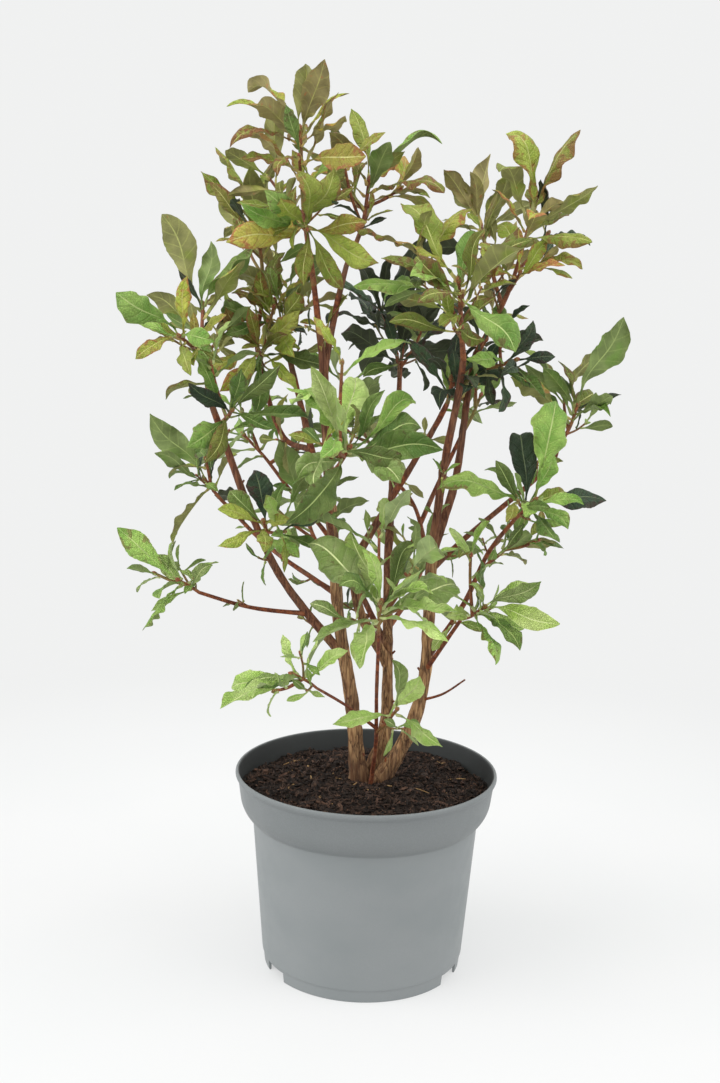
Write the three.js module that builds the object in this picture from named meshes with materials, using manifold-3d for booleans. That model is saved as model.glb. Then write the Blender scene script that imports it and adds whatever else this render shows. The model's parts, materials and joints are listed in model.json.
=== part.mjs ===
// A potted azalea shrub about 75 cm tall: three woody stems rise from the compost of a round
// plastic nursery pot, divide into boughs, and carry whorls of leaves on short twigs.
// Millimetres, +Z up. The origin is the centre of the pot's underside, and -Y is the front.
import * as THREE from 'three';
import { mergeVertices } from 'three/addons/utils/BufferGeometryUtils.js';
import Module from 'manifold-3d';

const wasm = await Module();
wasm.setup();

// ---- Driving dimensions -------------------------------------------------------------------

const CLEARANCE = 0.35; // space left between two solids that meet

const POT = {
  segments: 36,
  wall: 1.8, // thickness of the plastic
  bevel: 1, // where two stretches of the wall meet
  footRadius: 84.5,
  footHeight: 10,
  baseRadius: 86.5, // wall just above the foot
  wallTopRadius: 96.1,
  wallTop: 129.5,
  shoulderRadius: 105.3, // the corner that the shoulder rounds, between the wall and the collar
  shoulder: 137,
  shoulderSteps: 3,
  collarBottomRadius: 106.8,
  collarBottom: 148,
  collarTopRadius: 109,
  collarTop: 164.5,
  lipRadius: 111.3,
  lipBottom: 166,
  lipMiddle: 168.5,
  lipTopRadius: 109.9,
  lipInnerRadius: 108.2,
  rimTop: 171,
  floorBottom: 8,
  padRadius: 30, // flat foot in the middle of the underside
  notches: 3, // gaps between the feet, which drain the pot
  notchTurn: 91, // degrees from the right to the first of them
  notchWidth: 26,
  notchDepth: 12, // measured along the pot's radius
  notchHeight: 9,
};

const COMPOST = {
  edgeHeight: 155,
  shoulderRadius: 66,
  shoulderHeight: 160,
  crownRadius: 36, // level patch in the middle, where the stems stand
  crownHeight: 164,
  roughness: 2.2, // how far the surface rises and falls
  seed: 11,
};

const LIMB = {
  sides: 5,
  stemSides: 8,
  stepLength: 40,
  fewestSteps: 2,
  flare: 0.3, // how much fatter a stem is at the compost, as a share
  flareHeight: 14,
};
const TWIG = { sides: 3, steps: 3, tipRadius: 2.1, rootRadius: 2.4 };
const LEAF = {
  thickness: 1, // from the blade to its keel, the midrib
  fold: 0.25, // how much of the living leaf's cup the straight blade shows
  rootWidth: 1,
  rootDepth: 0.8,
  step: 3, // between the roots of leaves that follow each other on a twig
  lowest: 0.15, // no leaf grows nearer to the foot of its twig
  sunk: 0.2, // how far behind the twig's middle the root begins
  leastSunk: 0.4, // volume of leaf that has to lie in wood
  freeFrom: 0.12, // beyond this share of its length a leaf may not touch its own mass
  widestAt: 0.58,
  fullness: 1.12, // makes up for the straight edges
};

// The rule of growth. A pair is the lowest and the highest value that is drawn.
const WHORL = {
  share: 0.42, // of the twig that the leaves take up
  crowding: 1.6, // how fast they draw together towards its tip
  turn: [-0.25, 0.25], // radians
  innerLean: 28, // degrees between the innermost leaf and the twig
  lean: [-14, 14], // degrees
  shortest: 0.78, // length of the lowest leaf, as a share
  swell: 0.3, // how much longer the leaves in the middle are
  swellStart: 0.1,
  swellSpan: 1.1,
  length: [0.8, 1.08],
  twist: [-0.5, 0.5], // radians
  width: [0.26, 0.32], // share of the leaf's length
  recurve: [0.15, 0.8], // radians that the leaf bends back
  cup: [0.05, 0.3],
};
const REACHING = {
  rootOffset: 0.2, // of a step between leaves
  twist: [-0.45, 0.45],
  width: [0.26, 0.32],
  recurve: [0.2, 0.55],
};
const SHOOT = { forkAt: 0.4, bow: [-0.06, 0.06] };
const SIDE_TWIG = {
  lowest: 0.3, // where on the main shoot the first one may grow
  span: 0.5, // of the main shoot that they are spread over
  place: [0.2, 0.8],
  spread: [45, 65], // degrees from the main shoot
  length: [0.45, 0.75], // share of the length of a leaf
  lift: 0.25,
  bow: 0.08,
  leafCount: 0.5, // share of the main shoot's leaves
  leafLength: 0.8,
};
const SEED_STEP = 7919; // sets the seeds of two masses far apart

const COLOURS = {
  pot: 0x82898b,
  compost: 0x2d2320,
  bark: 0x7a5238,
  fresh: 0x7da555,
  mid: 0x567f42,
  olive: 0x7c8446,
  bronze: 0x84743f,
  dark: 0x33452f,
};
const ROUGHNESS = { pot: 0.55, compost: 1, bark: 0.85, leaf: 0.6 };

// ---- The limbs ----------------------------------------------------------------------------
// on: the limb it grows from, or null for one that rises from the compost.
// at: where on that limb, from 0 at its foot to 1 at its tip.
// route: the points it passes after that, ending at its tip.
// foot, tip: its radius at both ends.

const LIMBS = {
  stem_left: {
    on: null, foot: 7, tip: 3.4,
    route: [[-6, -3, 164], [-14, -5, 232], [-26, -8, 300], [-36, -5, 410], [-43, 0, 506]],
  },
  stem_middle: {
    on: null, foot: 6.6, tip: 2.6,
    route: [[5, 8, 164], [16, 15, 207], [16, 26, 270], [15, 55, 360], [21, 92, 485]],
  },
  stem_right: {
    on: null, foot: 6.8, tip: 4.4,
    route: [[13, -6, 164], [34, -8, 204], [47, -5, 256], [50, 5, 357]],
  },
  bough_top_left: { on: 'stem_left', at: 1, foot: 2.9, tip: 2.3, route: [[-52, -5, 575]] },
  bough_top_middle: {
    on: 'stem_left', at: 1, foot: 2.8, tip: 2.2,
    route: [[-34, 15, 560], [-27, 24, 592]],
  },
  bough_centre_left: {
    on: 'stem_left', at: 0.68, foot: 3.1, tip: 2.1,
    route: [[-49, 20, 427], [-67, 40, 491], [-75, 47, 520]],
  },
  bough_left_back: {
    on: 'bough_centre_left', at: 0.4, foot: 2.4, tip: 1.9,
    route: [[-80, 50, 451], [-102, 68, 518], [-99, 70, 562]],
  },
  bough_left_long: {
    on: 'stem_left', at: 0.4, foot: 3.4, tip: 2.2,
    route: [[-70, -20, 333], [-98, -30, 392], [-127, -30, 470], [-133, -30, 487]],
  },
  bough_left_mid: {
    on: 'stem_left', at: 0.56, foot: 2.2, tip: 1.5,
    route: [[-86, 30, 354], [-132, 62, 390]],
  },
  bough_left_low: {
    on: 'bough_left_long', at: 0.15, foot: 1.9, tip: 1.4,
    route: [[-97, -40, 318], [-136, -62, 334]],
  },
  bough_crook: {
    on: 'stem_middle', at: 0.46, foot: 4.4, tip: 3.6,
    route: [[-8, 12, 303], [-17, 8, 345]],
  },
  bough_cross: {
    on: 'bough_crook', at: 1, foot: 3.2, tip: 2,
    route: [[12, 20, 395], [47, 20, 457], [59, 16, 482]],
  },
  bough_right_left: {
    on: 'stem_right', at: 1, foot: 3.4, tip: 2.4,
    route: [[57, -10, 435], [65, -20, 488], [68, -27, 520]],
  },
  bough_right_right: {
    on: 'stem_right', at: 1, foot: 3.4, tip: 2.4,
    route: [[68, 20, 416], [77, 30, 491], [82, 34, 522]],
  },
  bough_right_outer: {
    on: 'stem_right', at: 0.96, foot: 2.6, tip: 1.7,
    route: [[84, 20, 374], [146, 40, 426], [157, 44, 446]],
  },
  bough_right_mid: {
    on: 'stem_right', at: 0.72, foot: 2.4, tip: 1.6,
    route: [[76, -14, 318], [94, -24, 364], [112, -45, 396]],
  },
  bough_right_low: { on: 'stem_right', at: 0.68, foot: 2, tip: 1.5, route: [[73, -42, 313]] },
  bough_back_centre: {
    on: 'stem_right', at: 0.95, foot: 1.9, tip: 1.4,
    route: [[38, 52, 386], [20, 84, 408], [0, 95, 430]],
  },
  bough_back_right: {
    on: 'stem_middle', at: 0.62, foot: 2.4, tip: 1.7,
    route: [[51, 72, 393], [76, 92, 446]],
  },
  bough_back_left: {
    on: 'stem_middle', at: 0.5, foot: 2.6, tip: 1.7,
    route: [[-30, 80, 345], [-80, 110, 400]],
  },
  bough_front_centre: {
    on: 'stem_left', at: 0.62, foot: 2.4, tip: 1.7,
    route: [[-37, -50, 417], [-31, -78, 436]],
  },
  bough_front: {
    on: null, foot: 1.7, tip: 1.4,
    route: [[4, -16, 164], [7, -36, 205], [6, -68, 254], [6, -96, 312]],
  },
  bough_front_left: {
    on: 'bough_front', at: 0.45, foot: 1.3, tip: 1.1,
    route: [[-18, -80, 250], [-40, -104, 270]],
  },
  twig_bare_right: {
    on: 'stem_right', at: 0.55, foot: 1.2, tip: 0.7,
    route: [[62, -20, 244], [78, -40, 262]],
  },
};

// ---- The masses of foliage ----------------------------------------------------------------
// on, at: the limb that carries the mass, and where.
// tips: where its main shoots end, the first being its stem.
// reach: for each of those shoots, the tips of its furthest leaves.
// side: how many side twigs the growth rule adds. leaves: how many in a whorl. length: of a leaf.
// open: how far the lowest leaves of a whorl lean out from the twig, in degrees.

const MASSES = {
  foliage_top_left: {
    on: 'bough_top_left', at: 1, side: 2, leaves: 8, length: 73, open: 46, tint: 'bronze', seed: 63,
    tips: [[-65, -10, 694], [-58, -26, 618]],
    reach: [
      [[-108, 24, 741], [-120, -45, 714], [-45, -62, 737], [-119, -60, 685], [-29, -51, 699]],
      [[-57, -80, 656], [-87, -71, 640]],
    ],
  },
  foliage_top_middle: {
    on: 'bough_top_middle', at: 1, side: 2, leaves: 8, length: 60, open: 52, tint: 'bronze', seed: 51,
    tips: [[-10, 40, 661]],
    reach: [[[-26, 62, 721], [-42, 2, 698], [47, 42, 710], [53, 2, 660]]],
  },
  foliage_upper_left: {
    on: 'bough_left_back', at: 1, side: 2, leaves: 6, length: 71, open: 42, tint: 'olive', seed: 40,
    tips: [[-104, 70, 621]],
    reach: [[[-152, 60, 667], [-140, 70, 690], [-88, 64, 686], [-123, 25, 610]]],
  },
  foliage_centre_left: {
    on: 'bough_centre_left', at: 1, side: 1, leaves: 8, length: 67, open: 58, tint: 'olive', seed: 77,
    tips: [[-75, 58, 570], [-90, 38, 545]],
    reach: [],
  },
  foliage_left_inner: {
    on: 'bough_left_back', at: 0.62, side: 1, leaves: 10, length: 59, open: 66, tint: 'olive', seed: 56,
    tips: [[-98, 22, 522]],
    reach: [],
  },
  foliage_left_outer: {
    on: 'bough_left_long', at: 1, side: 1, leaves: 6, length: 58, open: 50, tint: 'olive', seed: 14,
    tips: [[-144, 20, 557], [-152, -62, 534]],
    reach: [
      [[-178, 30, 631], [-100, 15, 614], [-138, 28, 610]],
      [[-193, -102, 568], [-196, -36, 553]],
    ],
  },
  foliage_left_side: {
    on: 'bough_left_long', at: 0.72, side: 1, leaves: 9, length: 66, open: 67, tint: 'mid', seed: 17,
    tips: [[-112, -58, 478]],
    reach: [],
  },
  foliage_left_mid: {
    on: 'bough_left_mid', at: 1, side: 1, leaves: 5, length: 51, open: 80, tint: 'mid', seed: 26,
    tips: [[-147, 72, 406]],
    reach: [[[-196, 69, 464], [-190, 54, 433], [-177, 58, 351], [-143, 102, 438]]],
  },
  foliage_left_low: {
    on: 'bough_left_low', at: 1, side: 1, leaves: 5, length: 48, open: 61, tint: 'fresh', seed: 36,
    tips: [[-150, -72, 345]],
    reach: [[[-202, -48, 382], [-174, -108, 313], [-123, -43, 358]]],
  },
  foliage_left_front: {
    on: 'bough_left_long', at: 0.36, side: 1, leaves: 9, length: 54, open: 61, tint: 'mid', seed: 60,
    tips: [[-86, -62, 392]],
    reach: [],
  },
  foliage_back_left: {
    on: 'bough_back_left', at: 1, side: 1, leaves: 8, length: 64, open: 74, tint: 'mid', seed: 12,
    tips: [[-118, 130, 440], [-66, 128, 430]],
    reach: [],
  },
  foliage_back_low_left: {
    on: 'stem_left', at: 0.6, side: 2, leaves: 8, length: 59, open: 80, tint: 'mid', seed: 47,
    tips: [[-62, 66, 392]],
    reach: [],
  },
  foliage_front_centre: {
    on: 'bough_front_centre', at: 1, side: 2, leaves: 6, length: 82, open: 67, tint: 'fresh', seed: 52,
    tips: [[-20, -104, 456]],
    reach: [
      [[-20, -57, 518], [-46, -147, 507], [37, -68, 500], [47, -147, 463], [-57, -141, 443]],
    ],
  },
  foliage_back_middle: {
    on: 'stem_middle', at: 1, side: 2, leaves: 9, length: 78, open: 52, tint: 'dark', seed: 4,
    tips: [[24, 104, 526], [4, 122, 556]],
    reach: [],
  },
  foliage_back_centre: {
    on: 'bough_back_centre', at: 1, side: 2, leaves: 8, length: 66, open: 80, tint: 'mid', seed: 35,
    tips: [[-14, 112, 455]],
    reach: [],
  },
  foliage_cross: {
    on: 'bough_cross', at: 1, side: 1, leaves: 8, length: 65, open: 52, tint: 'dark', seed: 39,
    tips: [[61, 8, 502]],
    reach: [],
  },
  foliage_right_front: {
    on: 'bough_right_left', at: 1, side: 2, leaves: 8, length: 82, open: 62, tint: 'olive', seed: 70,
    tips: [[60, -60, 580]],
    reach: [[[15, -30, 647], [0, -88, 596]]],
  },
  foliage_right_top: {
    on: 'bough_right_right', at: 1, side: 2, leaves: 8, length: 62, open: 48, tint: 'bronze', seed: 54,
    tips: [[121, 20, 629], [87, 86, 630]],
    reach: [
      [[111, 28, 714], [91, -18, 682], [156, 20, 706], [170, -12, 656], [167, -16, 616]],
      [[91, 107, 693], [53, 80, 679]],
    ],
  },
  foliage_right_side: {
    on: 'bough_right_right', at: 0.86, side: 1, leaves: 9, length: 50, open: 62, tint: 'dark', seed: 58,
    tips: [[112, -2, 520]],
    reach: [],
  },
  foliage_right_outer: {
    on: 'bough_right_outer', at: 1, side: 1, leaves: 6, length: 67, open: 50, tint: 'olive', seed: 73,
    tips: [[172, 50, 480]],
    reach: [[[207, 50, 558], [161, 82, 519], [195, 6, 483], [124, 63, 529], [112, 28, 513]]],
  },
  foliage_right_mid: {
    on: 'bough_right_mid', at: 1, side: 1, leaves: 6, length: 55, open: 48, tint: 'mid', seed: 31,
    tips: [[125, -62, 414]],
    reach: [
      [
        [145, -29, 497], [47, -92, 434], [187, -33, 412],
        [140, -104, 387], [91, -24, 441], [118, -20, 475],
      ],
    ],
  },
  foliage_right_inner: {
    on: 'bough_right_mid', at: 0.55, side: 1, leaves: 8, length: 46, open: 54, tint: 'mid', seed: 61,
    tips: [[120, -4, 374]],
    reach: [],
  },
  foliage_right_low: {
    on: 'bough_right_low', at: 1, side: 1, leaves: 7, length: 55, open: 48, tint: 'fresh', seed: 64,
    tips: [[88, -72, 330]],
    reach: [
      [[136, -39, 345], [143, -112, 328], [113, -120, 309], [34, -36, 343], [97, -117, 298]],
    ],
  },
  foliage_back_right: {
    on: 'bough_back_right', at: 1, side: 2, leaves: 8, length: 49, open: 61, tint: 'mid', seed: 82,
    tips: [[95, 118, 482]],
    reach: [],
  },
  foliage_back_low_right: {
    on: 'stem_middle', at: 0.55, side: 1, leaves: 8, length: 66, open: 74, tint: 'mid', seed: 41,
    tips: [[52, 104, 340]],
    reach: [],
  },
  foliage_front: {
    on: 'bough_front', at: 1, side: 2, leaves: 7, length: 76, open: 61, tint: 'fresh', seed: 9,
    tips: [[7, -112, 340]],
    reach: [
      [
        [-54, -80, 388], [-18, -70, 387], [37, -143, 373],
        [62, -154, 349], [56, -157, 326], [-43, -151, 320],
      ],
    ],
  },
  foliage_front_left: {
    on: 'bough_front_left', at: 1, side: 1, leaves: 5, length: 48, open: 67, tint: 'fresh', seed: 17,
    tips: [[-58, -120, 285]],
    reach: [[[-107, -172, 271], [-114, -93, 264], [-69, -86, 303], [-33, -86, 311]]],
  },
  foliage_front_right: {
    on: 'bough_front', at: 0.42, side: 0, leaves: 4, length: 59, open: 80, tint: 'fresh', seed: 25,
    tips: [[22, -76, 246]],
    reach: [],
  },
};

// ---- Numbers drawn from a seed ------------------------------------------------------------

const GOLDEN_ANGLE = THREE.MathUtils.degToRad(137.508);

function seeded(seed) {
  let state = seed;
  return (low = 0, high = 1) => {
    state = (state + 0x6d2b79f5) | 0;
    let mixed = Math.imul(state ^ (state >>> 15), state | 1);
    mixed ^= mixed + Math.imul(mixed ^ (mixed >>> 7), mixed | 61);
    return low + ((high - low) * ((mixed ^ (mixed >>> 14)) >>> 0)) / 2 ** 32;
  };
}

// ---- Routes -------------------------------------------------------------------------------

const TENSION = 0.5; // of the smooth curve through a route's points
const NUDGE = 0.01; // share of a curve over which its heading is measured
const STEEP = 0.9; // beyond this an axis counts as upright
const NEARLY_ALONG = 0.1; // below this a direction counts as parallel to another

const vector = ([x, y, z]) => new THREE.Vector3(x, y, z);
const halfway = (a, b) => a.clone().add(b).multiplyScalar(0.5);
const cross = (a, b) => new THREE.Vector3().crossVectors(a, b);

// The direction at an angle from one of two square directions towards the other.
const between = (from, to, angle) =>
  from.clone().multiplyScalar(Math.cos(angle)).addScaledVector(to, Math.sin(angle));

function smooth(points) {
  return new THREE.CatmullRomCurve3(points, false, 'catmullrom', TENSION);
}

function headingAt(curve, t) {
  const ahead = curve.getPoint(Math.min(t + NUDGE, 1));
  const behind = curve.getPoint(Math.max(t - NUDGE, 0));
  return ahead.sub(behind).normalize();
}

function straightLength(curve) {
  return curve.getPoint(0).distanceTo(curve.getPoint(1));
}

function limbCurve(name) {
  const limb = LIMBS[name];
  const start = limb.on ? [limbCurve(limb.on).getPoint(limb.at)] : [];
  return smooth([...start, ...limb.route.map(vector)]);
}

// Two directions square to an axis and to each other.
function sideFrame(axis) {
  const upright = new THREE.Vector3(0, 0, 1);
  const reference = Math.abs(axis.z) < STEEP ? upright : new THREE.Vector3(1, 0, 0);
  const first = cross(axis, reference).normalize();
  return [first, cross(axis, first)];
}

// ---- Solids -------------------------------------------------------------------------------

const WELD = 1e-4; // points closer than this are one

function welded(geometry) {
  geometry.deleteAttribute('normal');
  geometry.deleteAttribute('uv');
  return mergeVertices(geometry, WELD);
}

function toSolid(geometry) {
  const merged = welded(geometry);
  const vertProperties = new Float32Array(merged.attributes.position.array);
  const triVerts = new Uint32Array(merged.index.array);
  return new wasm.Manifold(new wasm.Mesh({ numProp: 3, vertProperties, triVerts }));
}

function fromFaces(vertices, faces) {
  const numbers = vertices.flatMap((vertex) => vertex.toArray());
  const geometry = new THREE.BufferGeometry();
  geometry.setAttribute('position', new THREE.Float32BufferAttribute(numbers, 3));
  geometry.setIndex(faces.flat());
  return toSolid(geometry);
}

// The body that matters of a solid: loose scraps are dropped and sealed hollows filled.
function largestBody(solid) {
  const bodies = solid.decompose();
  return bodies.reduce((best, body) => (body.volume() > best.volume() ? body : best));
}

function toGeometry(solid) {
  const mesh = solid.getMesh();
  const geometry = new THREE.BufferGeometry();
  geometry.setAttribute('position', new THREE.BufferAttribute(mesh.vertProperties, 3));
  geometry.setIndex(new THREE.BufferAttribute(mesh.triVerts, 1));
  return geometry;
}

// Joins rings of the same number of points into one closed skin, capped at both ends.
function loft(rings) {
  const sides = rings[0].length;
  const faces = [];
  for (let row = 0; row + 1 < rings.length; row += 1) {
    for (let side = 0; side < sides; side += 1) {
      const a = row * sides + side;
      const b = row * sides + ((side + 1) % sides);
      faces.push([a, b, b + sides], [a, b + sides, a + sides]);
    }
  }
  const last = (rings.length - 1) * sides;
  for (let side = 1; side + 1 < sides; side += 1) {
    faces.push([0, side + 1, side], [last, last + side, last + side + 1]);
  }
  return fromFaces(rings.flat(), faces);
}

// The points of a ring round a centre. across and upward are square to each other.
function ringPoints(centre, across, upward, radius, sides) {
  const points = [];
  for (let side = 0; side < sides; side += 1) {
    const outward = between(across, upward, (side / sides) * 2 * Math.PI);
    points.push(centre.clone().addScaledVector(outward, radius));
  }
  return points;
}

// A round or faceted limb along a curve. A margin makes it that much fatter and longer.
function limbSolid(curve, radiusAt, sides, steps, margin = 0) {
  const rings = [];
  let across = sideFrame(headingAt(curve, 0))[0];
  for (let step = 0; step <= steps; step += 1) {
    const t = step / steps;
    const axis = headingAt(curve, t);
    across = across.clone().addScaledVector(axis, -across.dot(axis)).normalize();
    const centre = curve.getPoint(t);
    if (step === 0) {
      centre.addScaledVector(axis, -margin);
    }
    if (step === steps) {
      centre.addScaledVector(axis, margin);
    }
    const radius = radiusAt(t, centre.z) + margin;
    rings.push(ringPoints(centre, across, cross(axis, across), radius, sides));
  }
  return loft(rings);
}

function boxSolid(size, centre) {
  const geometry = new THREE.BoxGeometry(...size);
  geometry.translate(...centre);
  return toSolid(geometry);
}

// ---- Pot and compost ----------------------------------------------------------------------

function innerRadius(outer) {
  return outer - POT.wall;
}

// Turns a profile of [radius, height] pairs about the upright axis.
function uprightLathe(profile) {
  const points = profile.map(([radius, height]) => new THREE.Vector2(radius, height));
  const geometry = new THREE.LatheGeometry(points, POT.segments);
  return geometry.rotateX(Math.PI / 2);
}

// The round shoulder from the wall out to the collar, moved inward and up.
function shoulderProfile(inward = 0, up = 0) {
  const curve = new THREE.QuadraticBezierCurve(
    new THREE.Vector2(POT.wallTopRadius, POT.wallTop),
    new THREE.Vector2(POT.shoulderRadius, POT.shoulder),
    new THREE.Vector2(POT.collarBottomRadius, POT.collarBottom),
  );
  return curve.getPoints(POT.shoulderSteps).map(({ x, y }) => [x - inward, y + up]);
}

function potSolid() {
  const floorTop = POT.floorBottom + POT.wall;
  let pot = toSolid(
    uprightLathe([
      [0, 0],
      [POT.padRadius, 0],
      [POT.padRadius, POT.floorBottom],
      [innerRadius(POT.footRadius), POT.floorBottom],
      [innerRadius(POT.footRadius), 0],
      [POT.footRadius, 0],
      [POT.footRadius + POT.bevel, POT.footHeight],
      [POT.baseRadius, POT.footHeight + POT.bevel],
      ...shoulderProfile(),
      [POT.collarTopRadius, POT.collarTop],
      [POT.lipRadius - POT.bevel, POT.lipBottom],
      [POT.lipRadius, POT.lipMiddle],
      [POT.lipRadius - POT.bevel, POT.rimTop - POT.bevel],
      [POT.lipTopRadius, POT.rimTop],
      [POT.lipInnerRadius, POT.rimTop - POT.bevel],
      [innerRadius(POT.collarTopRadius), POT.collarTop],
      ...shoulderProfile(POT.wall, POT.bevel).reverse(),
      [innerRadius(POT.baseRadius), floorTop],
      [0, floorTop],
    ]),
  );
  for (let notch = 0; notch < POT.notches; notch += 1) {
    const turn = THREE.MathUtils.degToRad(POT.notchTurn + (notch / POT.notches) * 360);
    const geometry = new THREE.BoxGeometry(POT.notchDepth, POT.notchWidth, 2 * POT.notchHeight);
    geometry.translate(POT.footRadius, 0, 0);
    geometry.rotateZ(turn);
    pot = pot.subtract(toSolid(geometry));
  }
  return pot;
}

// A little rounded heap that fills the pot, rough on top except where the stems stand.
function compostSolid() {
  const gap = 2 * CLEARANCE;
  const bottom = POT.floorBottom + POT.wall + CLEARANCE;
  const collarShare = (COMPOST.edgeHeight - POT.collarBottom) / (POT.collarTop - POT.collarBottom);
  const collarRadius = THREE.MathUtils.lerp(POT.collarBottomRadius, POT.collarTopRadius, collarShare);
  const edgeRadius = innerRadius(collarRadius) - gap;
  const { edgeHeight, shoulderRadius, shoulderHeight, crownRadius, crownHeight } = COMPOST;
  const geometry = uprightLathe([
    [0, bottom],
    [innerRadius(POT.baseRadius) - CLEARANCE, bottom],
    ...shoulderProfile(POT.wall + gap, 2 * POT.bevel),
    [edgeRadius, edgeHeight],
    [(edgeRadius + shoulderRadius) / 2, (edgeHeight + shoulderHeight) / 2],
    [shoulderRadius, shoulderHeight],
    [(shoulderRadius + crownRadius) / 2, (shoulderHeight + crownHeight) / 2],
    [crownRadius, crownHeight],
    [0, crownHeight],
  ]);
  const merged = welded(geometry);
  const place = merged.attributes.position;
  const draw = seeded(COMPOST.seed);
  for (let index = 0; index < place.count; index += 1) {
    const radius = Math.hypot(place.getX(index), place.getY(index));
    const onTop = place.getZ(index) > edgeHeight - CLEARANCE;
    if (onTop && radius > crownRadius + CLEARANCE) {
      place.setZ(index, place.getZ(index) + draw(-COMPOST.roughness, COMPOST.roughness));
    }
  }
  return toSolid(merged);
}

// ---- Growth of a mass ---------------------------------------------------------------------

// A whorl: leaves spaced by the golden angle, crowded at the tip and opening further down.
function whorl(curve, count, length, open, draw) {
  const leaves = [];
  const phase = draw(0, 2 * Math.PI);
  for (let index = 0; index < count; index += 1) {
    const rank = index / Math.max(count - 1, 1); // 0 is the lowest leaf, 1 the innermost
    const spaced = ((count - index - 0.5) * LEAF.step) / straightLength(curve);
    const crowded = WHORL.share * (1 - rank) ** WHORL.crowding;
    const t = Math.max(LEAF.lowest, 1 - Math.max(crowded, spaced));
    const axis = headingAt(curve, t);
    const [first, second] = sideFrame(axis);
    const turn = phase + index * GOLDEN_ANGLE + draw(...WHORL.turn);
    const opening = open - (open - WHORL.innerLean) * rank + draw(...WHORL.lean);
    const lean = THREE.MathUtils.degToRad(opening);
    const radial = between(first, second, turn);
    const direction = between(axis, radial, lean);
    const face = between(axis, radial, lean - Math.PI / 2);
    const swelling = Math.sin(Math.PI * Math.min(rank * WHORL.swellSpan + WHORL.swellStart, 1));
    const size = length * (WHORL.shortest + WHORL.swell * swelling) * draw(...WHORL.length);
    const twist = draw(...WHORL.twist);
    leaves.push({
      root: curve.getPoint(t),
      direction,
      face: turnAbout(face, direction, twist),
      length: size,
      width: size * draw(...WHORL.width),
      recurve: draw(...WHORL.recurve),
      cup: draw(...WHORL.cup),
      isReaching: false,
    });
  }
  return leaves;
}

function turnAbout(face, direction, angle) {
  return between(face, cross(direction, face), angle);
}

// Leaves that end at given points: a leaf bends back evenly, so it sets out above its chord.
function reachingLeaves(curve, points, draw) {
  const axis = headingAt(curve, 1);
  return points.map((point, index) => {
    const before = ((index + REACHING.rootOffset) * LEAF.step) / straightLength(curve);
    const root = curve.getPoint(1 - before);
    const chord = vector(point).sub(root);
    const span = chord.length();
    chord.normalize();
    const recurve = draw(...REACHING.recurve);
    const twist = draw(...REACHING.twist);
    const square = axis.clone().addScaledVector(chord, -axis.dot(chord));
    const upward = square.length() > NEARLY_ALONG ? square.normalize() : sideFrame(chord)[0];
    const face = turnAbout(upward, chord, twist);
    const half = recurve / 2;
    const size = (span * half) / Math.sin(half);
    return {
      root,
      direction: between(chord, face, half),
      face: between(face, chord, -half),
      length: size,
      width: size * draw(...REACHING.width),
      recurve,
      cup: draw(...WHORL.cup),
      isReaching: true,
    };
  });
}

// A twig that leaves its parent at t, curving upward.
function sideTwig(parent, t, turn, spread, size) {
  const start = parent.getPoint(t);
  const axis = headingAt(parent, t);
  const radial = between(...sideFrame(axis), turn);
  const tip = start.clone().addScaledVector(between(axis, radial, spread), size);
  tip.z += size * SIDE_TWIG.lift;
  const middle = halfway(start, tip).addScaledVector(radial, size * SIDE_TWIG.bow);
  return smooth([start, middle, tip]);
}

// A mass: main shoots to its tips, then side twigs round the first of them.
function grow(mass) {
  const draw = seeded(mass.seed * SEED_STEP);
  const base = limbCurve(mass.on).getPoint(mass.at);
  const twigs = [];
  const leaves = [];
  for (const [index, tip] of mass.tips.entries()) {
    const start = index === 0 ? base : twigs[0].getPoint(SHOOT.forkAt);
    const end = vector(tip);
    const span = end.clone().sub(start);
    const size = span.length();
    const [first, second] = sideFrame(span.normalize());
    const middle = halfway(start, end)
      .addScaledVector(first, size * draw(...SHOOT.bow))
      .addScaledVector(second, size * draw(...SHOOT.bow));
    const curve = smooth([start, middle, end]);
    twigs.push(curve);
    leaves.push(...whorl(curve, mass.leaves, mass.length, mass.open, draw));
    leaves.push(...reachingLeaves(curve, mass.reach[index] ?? [], draw));
  }
  const phase = draw(0, 2 * Math.PI);
  const sideLeaves = Math.round(mass.leaves * SIDE_TWIG.leafCount);
  const sideLength = mass.length * SIDE_TWIG.leafLength;
  for (let side = 0; side < mass.side; side += 1) {
    const place = (side + draw(...SIDE_TWIG.place)) / mass.side;
    const t = SIDE_TWIG.lowest + SIDE_TWIG.span * place;
    const turn = phase + side * GOLDEN_ANGLE;
    const spread = THREE.MathUtils.degToRad(draw(...SIDE_TWIG.spread));
    const size = mass.length * draw(...SIDE_TWIG.length);
    const curve = sideTwig(twigs[0], t, turn, spread, size);
    twigs.push(curve);
    leaves.push(...whorl(curve, sideLeaves, sideLength, mass.open, draw));
  }
  return { twigs, leaves };
}

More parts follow.
